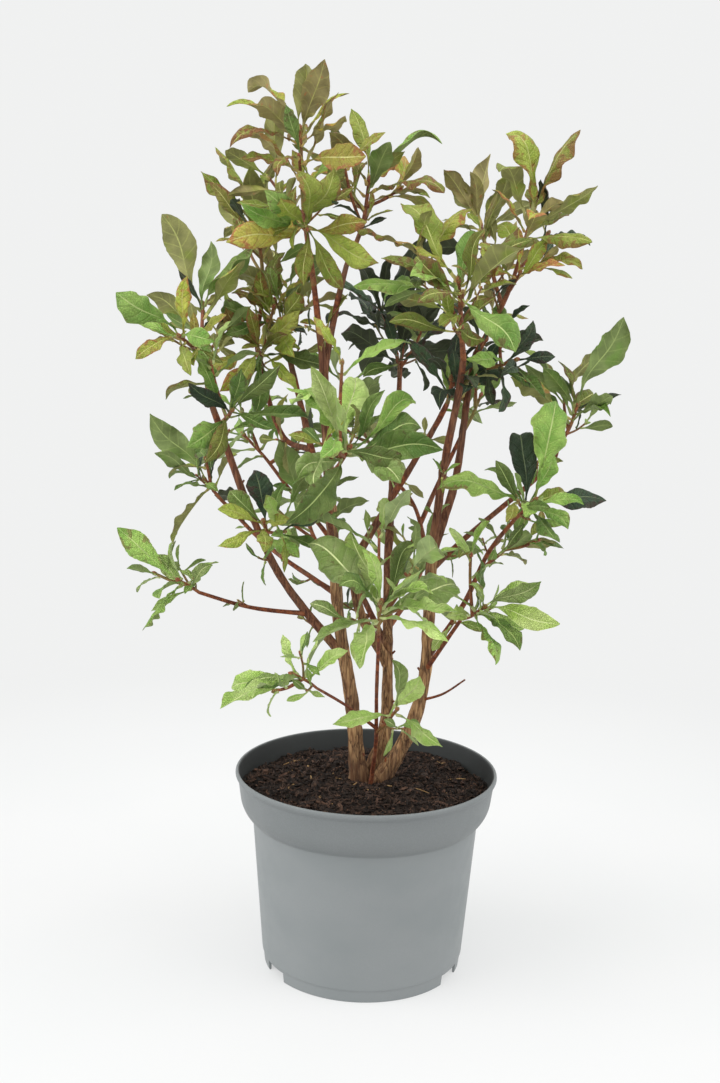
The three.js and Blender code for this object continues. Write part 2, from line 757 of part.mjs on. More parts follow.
// A keeled blade of three sections: a narrow root sunk in the twig, the widest place, and the tip.
// With from, only the part of it beyond that share of its length.
function leafSolid(leaf, margin = 0, from = 0) {
  const { root, direction, face, length, recurve } = leaf;
  const across = cross(direction, face);
  const centre = (share) =>
    root
      .clone()
      .addScaledVector(direction, (length * Math.sin(recurve * share)) / recurve)
      .addScaledVector(face, (-length * (1 - Math.cos(recurve * share))) / recurve);
  const section = (middle, halfWidth, rise, keel) => [
    middle.clone().addScaledVector(across, halfWidth + margin).addScaledVector(face, rise + margin),
    middle.clone().addScaledVector(across, -halfWidth - margin).addScaledVector(face, rise + margin),
    middle.clone().addScaledVector(face, -keel - margin),
  ];
  const halfWidth = (leaf.width / 2) * LEAF.fullness;
  const start = centre(from).addScaledVector(direction, -LEAF.sunk);
  const rootHalf = Math.max(LEAF.rootWidth / 2, (halfWidth * from) / LEAF.widestAt);
  const rootSection = section(start, rootHalf, LEAF.rootDepth / 2, LEAF.rootDepth / 2);
  const rise = halfWidth * leaf.cup * LEAF.fold;
  const middle = section(centre(LEAF.widestAt), halfWidth, rise, LEAF.thickness - rise);
  const tip = centre(1).addScaledVector(direction, margin);
  const faces = [[0, 1, 2]];
  for (let corner = 0; corner < 3; corner += 1) {
    const next = (corner + 1) % 3;
    faces.push([corner, next + 3, next], [corner, corner + 3, next + 3], [corner + 3, 6, next + 3]);
  }
  return fromFaces([...rootSection, ...middle, tip], faces);
}

// ---- Assembly -----------------------------------------------------------------------------

function boxesMeet(a, b) {
  const [p, q] = [a.boundingBox(), b.boundingBox()];
  return [0, 1, 2].every((axis) => p.min[axis] <= q.max[axis] && q.min[axis] <= p.max[axis]);
}

const touches = (solid, others) =>
  others.some((other) => boxesMeet(solid, other) && !solid.intersect(other).isEmpty());

const cutBack = (solid, fatNeighbours) =>
  fatNeighbours.reduce((rest, fat) => (boxesMeet(rest, fat) ? rest.subtract(fat) : rest), solid);

// Everything up to a little above the compost, which cuts the stems off flat.
function soilBox() {
  const width = 2 * POT.lipRadius;
  return boxSolid([width, width, COMPOST.crownHeight], [0, 0, COMPOST.crownHeight / 2 + CLEARANCE]);
}

function limbRadius(limb) {
  const flare = limb.on === null ? LIMB.flare * limb.foot : 0;
  return (t, height) => {
    const rise = height - COMPOST.crownHeight;
    return limb.foot + (limb.tip - limb.foot) * t + flare * Math.exp(-rise / LIMB.flareHeight);
  };
}

function buildLimbs() {
  const soil = soilBox();
  const limbs = new Map();
  for (const [name, limb] of Object.entries(LIMBS)) {
    const curve = limbCurve(name);
    const isStem = limb.on === null;
    const sides = isStem ? LIMB.stemSides : LIMB.sides;
    const steps = Math.max(LIMB.fewestSteps, Math.round(curve.getLength() / LIMB.stepLength));
    const radiusAt = limbRadius(limb);
    const earlier = [...limbs.values()].map((other) => other.fat);
    const whole = limbSolid(curve, radiusAt, sides, steps);
    const aboveSoil = isStem ? whole.subtract(soil) : whole;
    const solid = largestBody(cutBack(aboveSoil, earlier));
    const fat = limbSolid(curve, radiusAt, sides, steps, CLEARANCE);
    limbs.set(name, { solid, fat });
  }
  return limbs;
}

function twigSolid(curve, rootRadius, margin = 0) {
  const radiusAt = (t) => rootRadius + (TWIG.tipRadius - rootRadius) * t;
  return limbSolid(curve, radiusAt, TWIG.sides, TWIG.steps, margin);
}

// Twigs first, so that no leaf of a neighbour can cut through a stem.
function buildTwigs(limbs) {
  const fatLimbs = [...limbs.values()].map((limb) => limb.fat);
  const masses = [];
  for (const [name, mass] of Object.entries(MASSES)) {
    const { twigs, leaves } = grow(mass);
    const fatNeighbours = [...fatLimbs, ...masses.map((other) => other.fatTwigs)];
    const stemRadius = Math.min(LIMBS[mass.on].tip, TWIG.rootRadius);
    let solid = twigSolid(twigs[0], stemRadius);
    let fatTwigs = twigSolid(twigs[0], stemRadius, CLEARANCE);
    for (const curve of twigs.slice(1)) {
      const fat = twigSolid(curve, TWIG.rootRadius, CLEARANCE);
      if (!touches(fat, fatNeighbours)) {
        solid = solid.add(twigSolid(curve, TWIG.rootRadius));
        fatTwigs = fatTwigs.add(fat);
      }
    }
    solid = largestBody(cutBack(solid, fatNeighbours));
    masses.push({ name, tint: mass.tint, solid, fatTwigs, leaves });
  }
  return masses;
}

// Fuses a leaf on, unless it touches a neighbour, a leaf beside it, or its root is not in wood.
function addLeaf(mass, leaf, neighbours) {
  const isClear =
    !touches(leafSolid(leaf, CLEARANCE), neighbours) &&
    !touches(leafSolid(leaf, CLEARANCE, LEAF.freeFrom), [mass.solid]);
  if (isClear) {
    const blade = leafSolid(leaf);
    const joined = mass.solid.add(blade);
    const sunk = mass.solid.volume() + blade.volume() - joined.volume();
    mass.solid = sunk > LEAF.leastSunk ? joined : mass.solid;
  }
}

// The furthest leaves go on first.
function addLeaves(masses, limbs) {
  const wood = [...limbs.values()].map((limb) => limb.solid);
  for (const furthest of [true, false]) {
    for (const mass of masses) {
      const others = masses.filter((other) => other !== mass).map((other) => other.solid);
      for (const leaf of mass.leaves.filter(({ isReaching }) => isReaching === furthest)) {
        addLeaf(mass, leaf, [...wood, ...others]);
      }
    }
  }
}

function addMesh(group, name, solid, colour, roughness) {
  const material = new THREE.MeshStandardMaterial({ color: colour, roughness, metalness: 0 });
  const mesh = new THREE.Mesh(toGeometry(solid), material);
  mesh.name = name;
  group.add(mesh);
}

const shrub = new THREE.Group();
addMesh(shrub, 'pot', potSolid(), COLOURS.pot, ROUGHNESS.pot);
addMesh(shrub, 'compost', compostSolid(), COLOURS.compost, ROUGHNESS.compost);
const limbs = buildLimbs();
for (const [name, limb] of limbs) {
  addMesh(shrub, name, limb.solid, COLOURS.bark, ROUGHNESS.bark);
}
const masses = buildTwigs(limbs);
addLeaves(masses, limbs);
for (const mass of masses) {
  addMesh(shrub, mass.name, largestBody(mass.solid), COLOURS[mass.tint], ROUGHNESS.leaf);
}

export default shrub;
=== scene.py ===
"""Looks for a potted azalea shrub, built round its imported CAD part.

The shrub grows by the same seeded rule as in the part's source, in that rule's millimetres, and
goes on to finer twigs. Meshes are made in metres, +Z up, with the front towards -Y.
"""

import json
import math
import random
from collections import namedtuple
from types import SimpleNamespace

import bpy
import numpy as np
from mathutils import Matrix, Vector

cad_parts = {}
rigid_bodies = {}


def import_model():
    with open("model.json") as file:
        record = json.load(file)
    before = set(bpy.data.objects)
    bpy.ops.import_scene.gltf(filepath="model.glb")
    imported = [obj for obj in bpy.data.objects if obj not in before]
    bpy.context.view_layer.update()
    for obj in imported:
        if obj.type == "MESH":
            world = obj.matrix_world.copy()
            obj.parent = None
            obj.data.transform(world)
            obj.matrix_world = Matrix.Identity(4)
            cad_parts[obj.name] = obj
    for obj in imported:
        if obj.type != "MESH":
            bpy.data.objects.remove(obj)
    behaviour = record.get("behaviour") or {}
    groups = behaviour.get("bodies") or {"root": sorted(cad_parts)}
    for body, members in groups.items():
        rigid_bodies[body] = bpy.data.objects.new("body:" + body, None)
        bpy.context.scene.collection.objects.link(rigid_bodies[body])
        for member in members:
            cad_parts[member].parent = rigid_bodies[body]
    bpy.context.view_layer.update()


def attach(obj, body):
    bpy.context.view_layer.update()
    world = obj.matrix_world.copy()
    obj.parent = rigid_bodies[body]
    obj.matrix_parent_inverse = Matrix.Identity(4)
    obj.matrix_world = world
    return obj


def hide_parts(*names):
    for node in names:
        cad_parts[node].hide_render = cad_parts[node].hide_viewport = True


MM = 0.001

# ---- Driving sizes, in millimetres ----

POT = SimpleNamespace(
    segments=144,
    wall=1.8,
    foot_radius=84.5,
    foot_height=10,
    base_radius=86.5,
    wall_top_radius=96.1,
    wall_top=129.5,
    shoulder_radius=105.3,
    shoulder=137,
    shoulder_steps=10,
    collar_bottom_radius=106.8,
    collar_bottom=148,
    collar_top_radius=109,
    collar_top=164.5,
    lip_radius=111.3,
    lip_bottom=166,
    lip_middle=168.5,
    lip_top_radius=109.9,
    lip_inner_radius=108.2,
    rim_top=171,
    floor_bottom=8,
    pad_radius=30,
    notches=3,
    notch_turn=91,
    notch_width=26,
    notch_height=9,
    notch_slack=0.2,
    notch_side=0.002,  # in radians, the slope at the side of a notch
    notch_inside=35,  # the notches are cut in the rings outside this radius
    lip_rings=3,  # rings beyond the highest that are still of the outside's plastic
)

COLLAR_SHADE_EDGE = 1.6  # the height over which the painted shade on the collar sets in
ROUNDING = 1.4  # of the pot's corners

COMPOST = SimpleNamespace(
    edge_height=155,
    crown_height=163.5,
    crown_radius=34,
    sunk=2.6,
    rings=92,
    columns=288,
    lumps=620,
    lump_size=(0.9, 3.9),
    tuck=0.5,  # how far the surface's edge goes into the wall
    lump_margin=4,
    litter_margin=1.5,
    clearance=(0.7, 2),  # of its underside, inward from the shoulder and up
    bottom=((1.0, 120.0), (60.0, 120.0), (90.0, 121.0)),  # radius and height of its underside
)
# The noise on the compost's surface: how high it stands, how wide its lumps are, and a seed.
LUMPS = ((2.8, 19, 5), (2.0, 8, 6))
# The same for its fibres, with how often they come along each axis.
FIBRES = ((1.6, (0.45, 0.2, 1), 7), (1.6, (0.16, 0.5, 1), 8))
# Loose bits of bark on the compost: how many, their length and the power by which short ones are
# favoured, their thickness, and the odds of each material.
LITTER = (
    (4200, (2.5, 13.5), 1.8, (0.3, 1.1), (8, 12, 2, 0.14)),  # slivers
    (260, (7, 20), 1, (0.3, 0.6), (3, 4, 3, 1.6)),  # fibres
    (130, (4, 10), 1, (0.8, 1.7), (2, 4, 5, 0.5)),  # chips
)
# A profile is the share of the size that is left at the ends, the swell between them, and where
# on half a wave it starts and how far it goes.
LUMP = SimpleNamespace(
    lean=(-0.5, 0.5),
    rise=0.7,
    profile=(0.35, 0.75, 0.1, 0.8),
    odds=(9, 6, 0.3),
    sides=6,
    step=0.6,
    relief=0.5,
)
SLIVER = SimpleNamespace(
    lift=0.7,
    tilt=(-0.8, 0.8),
    level_from=6,  # longer ones lie more level
    bow=(-0.16, 0.16),
    profile=(0.4, 0.8, 0.15, 0.7),
    sides=4,
    long=10,
    short_steps=3,
    long_steps=6,
)

LIMB = SimpleNamespace(flare=0.3, flare_height=14, crown_height=164, sunk=12)

LEAF = SimpleNamespace(
    step=3,
    lowest=0.15,
    blade_thickness=0.35,
    petiole_radius=0.9,
    petiole_taper=0.65,
    petiole=0.07,
)

# The rule of growth, as in the part's source. A pair is the lowest and the highest value drawn.
WHORL = SimpleNamespace(
    share=0.42,
    crowding=1.6,
    turn=(-0.25, 0.25),
    inner_lean=28,
    lean=(-14, 14),
    shortest=0.78,
    swell=0.3,
    swell_start=0.1,
    swell_span=1.1,
    length=(0.8, 1.08),
    twist=(-0.5, 0.5),
    width=(0.26, 0.32),
    recurve=(0.15, 0.8),
    cup=(0.05, 0.3),
)
REACHING = SimpleNamespace(
    root_offset=0.2,
    twist=(-0.45, 0.45),
    width=(0.26, 0.32),
    recurve=(0.2, 0.55),
)
SHOOT = SimpleNamespace(
    fork_at=0.4,
    bow=(-0.06, 0.06),
    root_radius=2.4,
    fork_radius=1.9,
    tip_radius=1.35,
)
SIDE_TWIG = SimpleNamespace(
    lowest=0.3,
    span=0.5,
    place=(0.2, 0.8),
    spread=(45, 65),
    length=(0.45, 0.75),
    lift=0.25,
    bow=0.08,
    leaf_count=0.5,
    leaf_length=0.8,
    root_radius=1.5,
    tip_radius=1.1,
)
SEED_STEP = 7919  # between the seeds of two masses

# The finer twigs, which only this scene has.
FINE = SimpleNamespace(
    each=1,
    crown=490,  # above this height each shoot has one more
    extra={  # how many more a shoot has in some of the masses, or how many fewer
        "foliage_right_top": 2,
        "foliage_right_front": 2,
        "foliage_left_low": 1,
        "foliage_front": 1,
        "foliage_front_left": 1,
        "foliage_front_centre": 1,
        "foliage_left_side": -1,
        "foliage_left_front": -1,
        "foliage_back_low_left": -1,
        "foliage_back_left": -1,
    },
    lowest=0.12,
    span=0.6,
    spread=(40, 70),
    length=(0.25, 0.42),
    leaves=4,
    leaf_length=(0.4, 0.66),
    root_radius=1.0,
    tip_radius=0.75,
)
SPUR = SimpleNamespace(
    seed=4177,
    spacing=58,
    length=(5, 13),
    spread=(50, 75),
    leaves=3,
    leaf_length=(18, 40),
    open=85,
    lowest=290,
    olive=430,  # above this height their leaves are olive
)
BUD = SimpleNamespace(
    length=2.6,
    sunk=0.5,
    swell=(0.9, 1.15),
    on_twig=1.5,
    on_fine_twig=1.2,
    bluntness=0.12,
    start=0.28,
    roundness=0.8,
    sides=8,
    step=0.45,
)

# How one leaf differs from the next. A leaf shorter than the grown length is plainer.
HABIT = SimpleNamespace(
    grown_length=62,
    fullness=(0.9, 1.18),
    widest=(0.56, 0.68),
    wedge=(1.15, 1.6),
    blunt=(0.72, 1.2),
    hook=(-0.3, 1.3),
    hook_from=0.62,
    sway=(-0.3, 0.3),
    roll=(-0.85, 0.85),
    edge=(0.0, 0.75),
    ripple=(0.014, 0.05),
    waves=(2.2, 4.6),
    fold=(1.0, 3.0),
    quilt=(0.35, 0.75),
    lobes=((0.02, 0.08), (0.01, 0.04), (0.01, 0.03)),
    lobe_waves=(2.3, 6.1, 13.7),
    lobe_shift=1.7,
)
SIDE_VEINS = 8  # on each side of the midrib
# The groove over the midrib and the rib under it: how deep or high, and how wide as a share of
# half the blade.
GROOVE = (0.3, 0.12)
RIB = (0.75, 0.1)
STALK_END = (0.04, 0.16)  # where along the leaf the stalk fades into the blade

# The bark's relief: how often its ridges and knots come round a limb and along it, how much each
# counts, and the radii of old wood and of a young shoot.
BARK = SimpleNamespace(
    ridges=2.4,
    ridge_length=17,
    knot_length=9,
    sharpness=2.4,
    fine_grain=(3, 3, 2.5),
    fine_share=0.5,
    ridge_share=0.6,
    knot_share=0.7,
    old=5.2,
    young=1.6,
    swell=0.35,
    swell_fade=14,
)
# How a limb is meshed: sides, length of a step and depth of the relief.
THICK_RADIUS = 3  # a limb with a thicker foot is meshed as a thick one
THICK_LIMB = (40, 1.5, 0.14)
THIN_LIMB = (16, 2.6, 0.07)
# Stubs of twigs that were cut.
STUB = SimpleNamespace(
    limbs=("stem_left", "stem_middle", "stem_right", "bough_crook", "bough_left_long"),
    spacing=38,
    fewest=3,
    place=(0.2, 0.9),
    length=(1.5, 5),
    spread=(45, 75),
    radius=(0.8, 1.5),
    taper=0.35,
    mesh=(10, 1.6, 0.15),
)
TWIG_MESH = (12, 2.2, 0.07)
FINE_TWIG_MESH = (8, 2.4, 0.07)

# ---- The limbs, as in the part's source ----
# name: (the limb it grows from, where on it, radius at its foot, at its tip, points it passes)

Limb = namedtuple("Limb", "parent at foot tip points")
LIMB_ROWS = {
    "stem_left": (
        None, 0, 7, 3.4,
        [(-6, -3, 164), (-14, -5, 232), (-26, -8, 300), (-36, -5, 410), (-43, 0, 506)],
    ),
    "stem_middle": (
        None, 0, 6.6, 2.6,
        [(5, 8, 164), (16, 15, 207), (16, 26, 270), (15, 55, 360), (21, 92, 485)],
    ),
    "stem_right": (None, 0, 6.8, 4.4, [(13, -6, 164), (34, -8, 204), (47, -5, 256), (50, 5, 357)]),
    "bough_top_left": ("stem_left", 1, 2.9, 2.3, [(-52, -5, 575)]),
    "bough_top_middle": ("stem_left", 1, 2.8, 2.2, [(-34, 15, 560), (-27, 24, 592)]),
    "bough_centre_left": (
        "stem_left", 0.68, 3.1, 2.1, [(-49, 20, 427), (-67, 40, 491), (-75, 47, 520)],
    ),
    "bough_left_back": (
        "bough_centre_left", 0.4, 2.4, 1.9, [(-80, 50, 451), (-102, 68, 518), (-99, 70, 562)],
    ),
    "bough_left_long": (
        "stem_left", 0.4, 3.4, 2.2,
        [(-70, -20, 333), (-98, -30, 392), (-127, -30, 470), (-133, -30, 487)],
    ),
    "bough_left_mid": ("stem_left", 0.56, 2.2, 1.5, [(-86, 30, 354), (-132, 62, 390)]),
    "bough_left_low": ("bough_left_long", 0.15, 1.9, 1.4, [(-97, -40, 318), (-136, -62, 334)]),
    "bough_crook": ("stem_middle", 0.46, 4.4, 3.6, [(-8, 12, 303), (-17, 8, 345)]),
    "bough_cross": ("bough_crook", 1, 3.2, 2, [(12, 20, 395), (47, 20, 457), (59, 16, 482)]),
    "bough_right_left": (
        "stem_right", 1, 3.4, 2.4, [(57, -10, 435), (65, -20, 488), (68, -27, 520)],
    ),
    "bough_right_right": (
        "stem_right", 1, 3.4, 2.4, [(68, 20, 416), (77, 30, 491), (82, 34, 522)],
    ),
    "bough_right_outer": (
        "stem_right", 0.96, 2.6, 1.7, [(84, 20, 374), (146, 40, 426), (157, 44, 446)],
    ),
    "bough_right_mid": (
        "stem_right", 0.72, 2.4, 1.6, [(76, -14, 318), (94, -24, 364), (112, -45, 396)],
    ),
    "bough_right_low": ("stem_right", 0.68, 2, 1.5, [(73, -42, 313)]),
    "bough_back_centre": (
        "stem_right", 0.95, 1.9, 1.4, [(38, 52, 386), (20, 84, 408), (0, 95, 430)],
    ),
    "bough_back_right": ("stem_middle", 0.62, 2.4, 1.7, [(51, 72, 393), (76, 92, 446)]),
    "bough_back_left": ("stem_middle", 0.5, 2.6, 1.7, [(-30, 80, 345), (-80, 110, 400)]),
    "bough_front_centre": ("stem_left", 0.62, 2.4, 1.7, [(-37, -50, 417), (-31, -78, 436)]),
    "bough_front": (
        None, 0, 1.7, 1.4, [(4, -16, 164), (7, -36, 205), (6, -68, 254), (6, -96, 312)],
    ),
    "bough_front_left": ("bough_front", 0.45, 1.3, 1.1, [(-18, -80, 250), (-40, -104, 270)]),
    "twig_bare_right": ("stem_right", 0.55, 1.2, 0.7, [(62, -20, 244), (78, -40, 262)]),
}
LIMBS = {name: Limb(*row) for name, row in LIMB_ROWS.items()}

# ---- The masses of foliage, as in the part's source ----
# name: (limb, where on it, side twigs, leaves in a whorl, length of a leaf, how far the lowest
# leaves open in degrees, tint, seed, tips of the main shoots, tips of their furthest leaves)

Mass = namedtuple("Mass", "name limb at side leaves length open tint seed tips reach")
MASS_ROWS = {
    "foliage_top_left": (
        "bough_top_left", 1, 2, 8, 73, 46, "bronze", 63, [(-65, -10, 694), (-58, -26, 618)],
        [
            [(-108, 24, 741), (-120, -45, 714), (-45, -62, 737), (-119, -60, 685), (-29, -51, 699)],
            [(-57, -80, 656), (-87, -71, 640)],
        ],
    ),
    "foliage_top_middle": (
        "bough_top_middle", 1, 2, 8, 60, 52, "bronze", 51, [(-10, 40, 661)],
        [[(-26, 62, 721), (-42, 2, 698), (47, 42, 710), (53, 2, 660)]],
    ),
    "foliage_upper_left": (
        "bough_left_back", 1, 2, 6, 71, 42, "olive", 40, [(-104, 70, 621)],
        [[(-152, 60, 667), (-140, 70, 690), (-88, 64, 686), (-123, 25, 610)]],
    ),
    "foliage_centre_left": (
        "bough_centre_left", 1, 1, 8, 67, 58, "olive", 77, [(-75, 58, 570), (-90, 38, 545)], [],
    ),
    "foliage_left_inner": (
        "bough_left_back", 0.62, 1, 10, 59, 66, "olive", 56, [(-98, 22, 522)], [],
    ),
    "foliage_left_outer": (
        "bough_left_long", 1, 1, 6, 58, 50, "olive", 14, [(-144, 20, 557), (-152, -62, 534)],
        [
            [(-178, 30, 631), (-100, 15, 614), (-138, 28, 610)],
            [(-193, -102, 568), (-196, -36, 553)],
        ],
    ),
    "foliage_left_side": (
        "bough_left_long", 0.72, 1, 9, 66, 67, "mid", 17, [(-112, -58, 478)], [],
    ),
    "foliage_left_mid": (
        "bough_left_mid", 1, 1, 5, 51, 80, "mid", 26, [(-147, 72, 406)],
        [[(-196, 69, 464), (-190, 54, 433), (-177, 58, 351), (-143, 102, 438)]],
    ),
    "foliage_left_low": (
        "bough_left_low", 1, 1, 5, 48, 61, "fresh", 36, [(-150, -72, 345)],
        [[(-202, -48, 382), (-174, -108, 313), (-123, -43, 358)]],
    ),
    "foliage_left_front": (
        "bough_left_long", 0.36, 1, 9, 54, 61, "mid", 60, [(-86, -62, 392)], [],
    ),
    "foliage_back_left": (
        "bough_back_left", 1, 1, 8, 64, 74, "mid", 12, [(-118, 130, 440), (-66, 128, 430)], [],
    ),
    "foliage_back_low_left": ("stem_left", 0.6, 2, 8, 59, 80, "mid", 47, [(-62, 66, 392)], []),
    "foliage_front_centre": (
        "bough_front_centre", 1, 2, 6, 82, 67, "fresh", 52, [(-20, -104, 456)],
        [[(-20, -57, 518), (-46, -147, 507), (37, -68, 500), (47, -147, 463), (-57, -141, 443)]],
    ),
    "foliage_back_middle": (
        "stem_middle", 1, 2, 9, 78, 52, "dark", 4, [(24, 104, 526), (4, 122, 556)], [],
    ),
    "foliage_back_centre": (
        "bough_back_centre", 1, 2, 8, 66, 80, "mid", 35, [(-14, 112, 455)], [],
    ),
    "foliage_cross": ("bough_cross", 1, 1, 8, 65, 52, "dark", 39, [(61, 8, 502)], []),
    "foliage_right_front": (
        "bough_right_left", 1, 2, 8, 82, 62, "olive", 70, [(60, -60, 580)],
        [[(15, -30, 647), (0, -88, 596)]],
    ),
    "foliage_right_top": (
        "bough_right_right", 1, 2, 8, 62, 48, "bronze", 54, [(121, 20, 629), (87, 86, 630)],
        [
            [(111, 28, 714), (91, -18, 682), (156, 20, 706), (170, -12, 656), (167, -16, 616)],
            [(91, 107, 693), (53, 80, 679)],
        ],
    ),
    "foliage_right_side": (
        "bough_right_right", 0.86, 1, 9, 50, 62, "dark", 58, [(112, -2, 520)], [],
    ),
    "foliage_right_outer": (
        "bough_right_outer", 1, 1, 6, 67, 50, "olive", 73, [(172, 50, 480)],
        [[(207, 50, 558), (161, 82, 519), (195, 6, 483), (124, 63, 529), (112, 28, 513)]],
    ),
    "foliage_right_mid": (
        "bough_right_mid", 1, 1, 6, 55, 48, "mid", 31, [(125, -62, 414)],
        [
            [
                (145, -29, 497), (47, -92, 434), (187, -33, 412),
                (140, -104, 387), (91, -24, 441), (118, -20, 475),
            ],
        ],
    ),
    "foliage_right_inner": (
        "bough_right_mid", 0.55, 1, 8, 46, 54, "mid", 61, [(120, -4, 374)], [],
    ),
    "foliage_right_low": (
        "bough_right_low", 1, 1, 7, 55, 48, "fresh", 64, [(88, -72, 330)],
        [[(136, -39, 345), (143, -112, 328), (113, -120, 309), (34, -36, 343), (97, -117, 298)]],
    ),
    "foliage_back_right": (
        "bough_back_right", 1, 2, 8, 49, 61, "mid", 82, [(95, 118, 482)], [],
    ),
    "foliage_back_low_right": (
        "stem_middle", 0.55, 1, 8, 66, 74, "mid", 41, [(52, 104, 340)], [],
    ),
    "foliage_front": (
        "bough_front", 1, 2, 7, 76, 61, "fresh", 9, [(7, -112, 340)],
        [
            [
                (-54, -80, 388), (-18, -70, 387), (37, -143, 373),
                (62, -154, 349), (56, -157, 326), (-43, -151, 320),
            ],
        ],
    ),
    "foliage_front_left": (
        "bough_front_left", 1, 1, 5, 48, 67, "fresh", 17, [(-58, -120, 285)],
        [[(-107, -172, 271), (-114, -93, 264), (-69, -86, 303), (-33, -86, 311)]],
    ),
    "foliage_front_right": ("bough_front", 0.42, 0, 4, 59, 80, "fresh", 25, [(22, -76, 246)], []),
}
MASSES = [Mass(name, *row) for name, row in MASS_ROWS.items()]

TINTS = ("fresh", "mid", "olive", "bronze", "dark")

# A leaf now and then takes the tint of another kind of spray: (chance, tint).
STRAYS = {
    "fresh": [(0.14, "mid"), (0.05, "olive")],
    "mid": [(0.12, "fresh"), (0.14, "olive"), (0.06, "dark")],
    "olive": [(0.24, "mid"), (0.16, "bronze"), (0.05, "dark")],
    "bronze": [(0.26, "olive"), (0.12, "mid"), (0.07, "dark")],
    "dark": [(0.2, "mid")],
}
# The same for all leaves of a mass, in place of its tint's.
SPRAY_STRAYS = {
    "foliage_front_centre": [(0.36, "mid"), (0.3, "olive")],
    "foliage_right_outer": [(0.5, "mid"), (0.2, "dark")],
    "foliage_left_low": [(0.55, "mid")],
    "foliage_right_top": [(0.34, "olive"), (0.12, "dark")],
}

# ---- Numbers drawn from a seed ----

GOLDEN_ANGLE = math.radians(137.508)
WORD = 0xFFFFFFFF
NEARLY_ALONG = 0.1  # below this a direction counts as parallel to another
BARE_TWIG = "twig_bare_right"


def seeded(seed):
    """The same random numbers as in the part's source."""
    state = [seed & WORD]

    def draw(low=0.0, high=1.0):
        state[0] = (state[0] + 0x6D2B79F5) & WORD
        mixed = ((state[0] ^ (state[0] >> 15)) * (state[0] | 1)) & WORD
        mixed ^= (mixed + ((mixed ^ (mixed >> 7)) * (mixed | 61))) & WORD
        return low + (high - low) * (mixed ^ (mixed >> 14)) / 2**32

    return draw


# ---- Routes ----


class Route:
    """A smooth line through points, from t = 0 at its foot to t = 1 at its tip."""

    def __init__(self, points):
        self.points = [Vector(point) for point in points]

    def point(self, t):
        spans = len(self.points) - 1
        place = min(max(t, 0.0), 1.0) * spans
        index = min(int(place), spans - 1)
        w = place - index
        here, there = self.points[index], self.points[index + 1]
        before = self.points[index - 1] if index > 0 else 2 * here - there
        after = self.points[index + 2] if index + 2 <= spans else 2 * there - here
        leave, arrive = (there - before) / 2, (after - here) / 2
        square = 3 * (there - here) - 2 * leave - arrive
        cube = 2 * (here - there) + leave + arrive
        return here + leave * w + square * w * w + cube * w**3

    def heading(self, t):
        return (self.point(min(t + 0.01, 1)) - self.point(max(t - 0.01, 0))).normalized()

    def straight(self):
        return (self.point(1) - self.point(0)).length

    def length(self):
        marks = [self.point(step / 24) for step in range(25)]
        return sum((b - a).length for a, b in zip(marks, marks[1:]))


def limb_route(name):
    """A limb's route, which starts on the limb that it grows from."""
    limb = LIMBS[name]
    start = [limb_route(limb.parent).point(limb.at)] if limb.parent else []
    return Route(start + limb.points)


def side_frame(axis):
    """Two directions square to an axis and to each other."""
    reference = Vector((0, 0, 1)) if abs(axis.z) < 0.9 else Vector((1, 0, 0))
    first = axis.cross(reference).normalized()
    return first, axis.cross(first)


# ---- Growth, as in the part's source ----


def between(start, end, angle):
    """The direction at an angle from one of two square directions towards the other."""
    return start * math.cos(angle) + end * math.sin(angle)


def turn_about(face, direction, angle):
    return between(face, direction.cross(face), angle)


def whorl(route, count, length, spread, draw):
    """Leaves spaced by the golden angle, crowded at the tip and opening further down."""
    leaves = []
    phase = draw(0, 2 * math.pi)
    for index in range(count):
        rank = index / max(count - 1, 1)
        spaced = (count - index - 0.5) * LEAF.step / route.straight()
        crowded = WHORL.share * (1 - rank) ** WHORL.crowding
        t = max(LEAF.lowest, 1 - max(crowded, spaced))
        axis = route.heading(t)
        turn = phase + index * GOLDEN_ANGLE + draw(*WHORL.turn)
        lean = math.radians(spread - (spread - WHORL.inner_lean) * rank + draw(*WHORL.lean))
        radial = between(*side_frame(axis), turn)
        direction = between(axis, radial, lean)
        face = between(axis, radial, lean - math.pi / 2)
        swelling = math.sin(math.pi * min(rank * WHORL.swell_span + WHORL.swell_start, 1))
        size = length * (WHORL.shortest + WHORL.swell * swelling) * draw(*WHORL.length)
        twist = draw(*WHORL.twist)
        leaves.append(
            SimpleNamespace(
                root=route.point(t),
                direction=direction,
                face=turn_about(face, direction, twist),
                length=size,
                width=size * draw(*WHORL.width),
                recurve=draw(*WHORL.recurve),
                cup=draw(*WHORL.cup),
            )
        )
    return leaves


def reaching_leaves(route, points, draw):
    """Leaves that end at given points: a leaf bends back evenly, so it sets out above its chord."""
    leaves = []
    axis = route.heading(1)
    for index, point in enumerate(points):
        before = (index + REACHING.root_offset) * LEAF.step / route.straight()
        root = route.point(1 - before)
        chord = Vector(point) - root
        span = chord.length
        chord.normalize()
        recurve = draw(*REACHING.recurve)
        twist = draw(*REACHING.twist)
        square = axis - chord * axis.dot(chord)
        upward = square.normalized() if square.length > NEARLY_ALONG else side_frame(chord)[0]
        face = turn_about(upward, chord, twist)
        half = recurve / 2
        size = span * half / math.sin(half)
        leaves.append(
            SimpleNamespace(
                root=root,
                direction=between(chord, face, half),
                face=between(face, chord, -half),
                length=size,
                width=size * draw(*REACHING.width),
                recurve=recurve,
                cup=draw(*WHORL.cup),
            )
        )
    return leaves


def side_twig(parent, t, turn, spread, size):
    """A twig that leaves its parent at t, curving upward. spread is in degrees."""
    start = parent.point(t)
    axis = parent.heading(t)
    radial = between(*side_frame(axis), turn)
    tip = start + between(axis, radial, math.radians(spread)) * size
    tip.z += size * SIDE_TWIG.lift
    middle = (start + tip) / 2 + radial * size * SIDE_TWIG.bow
    return Route([start, middle, tip])


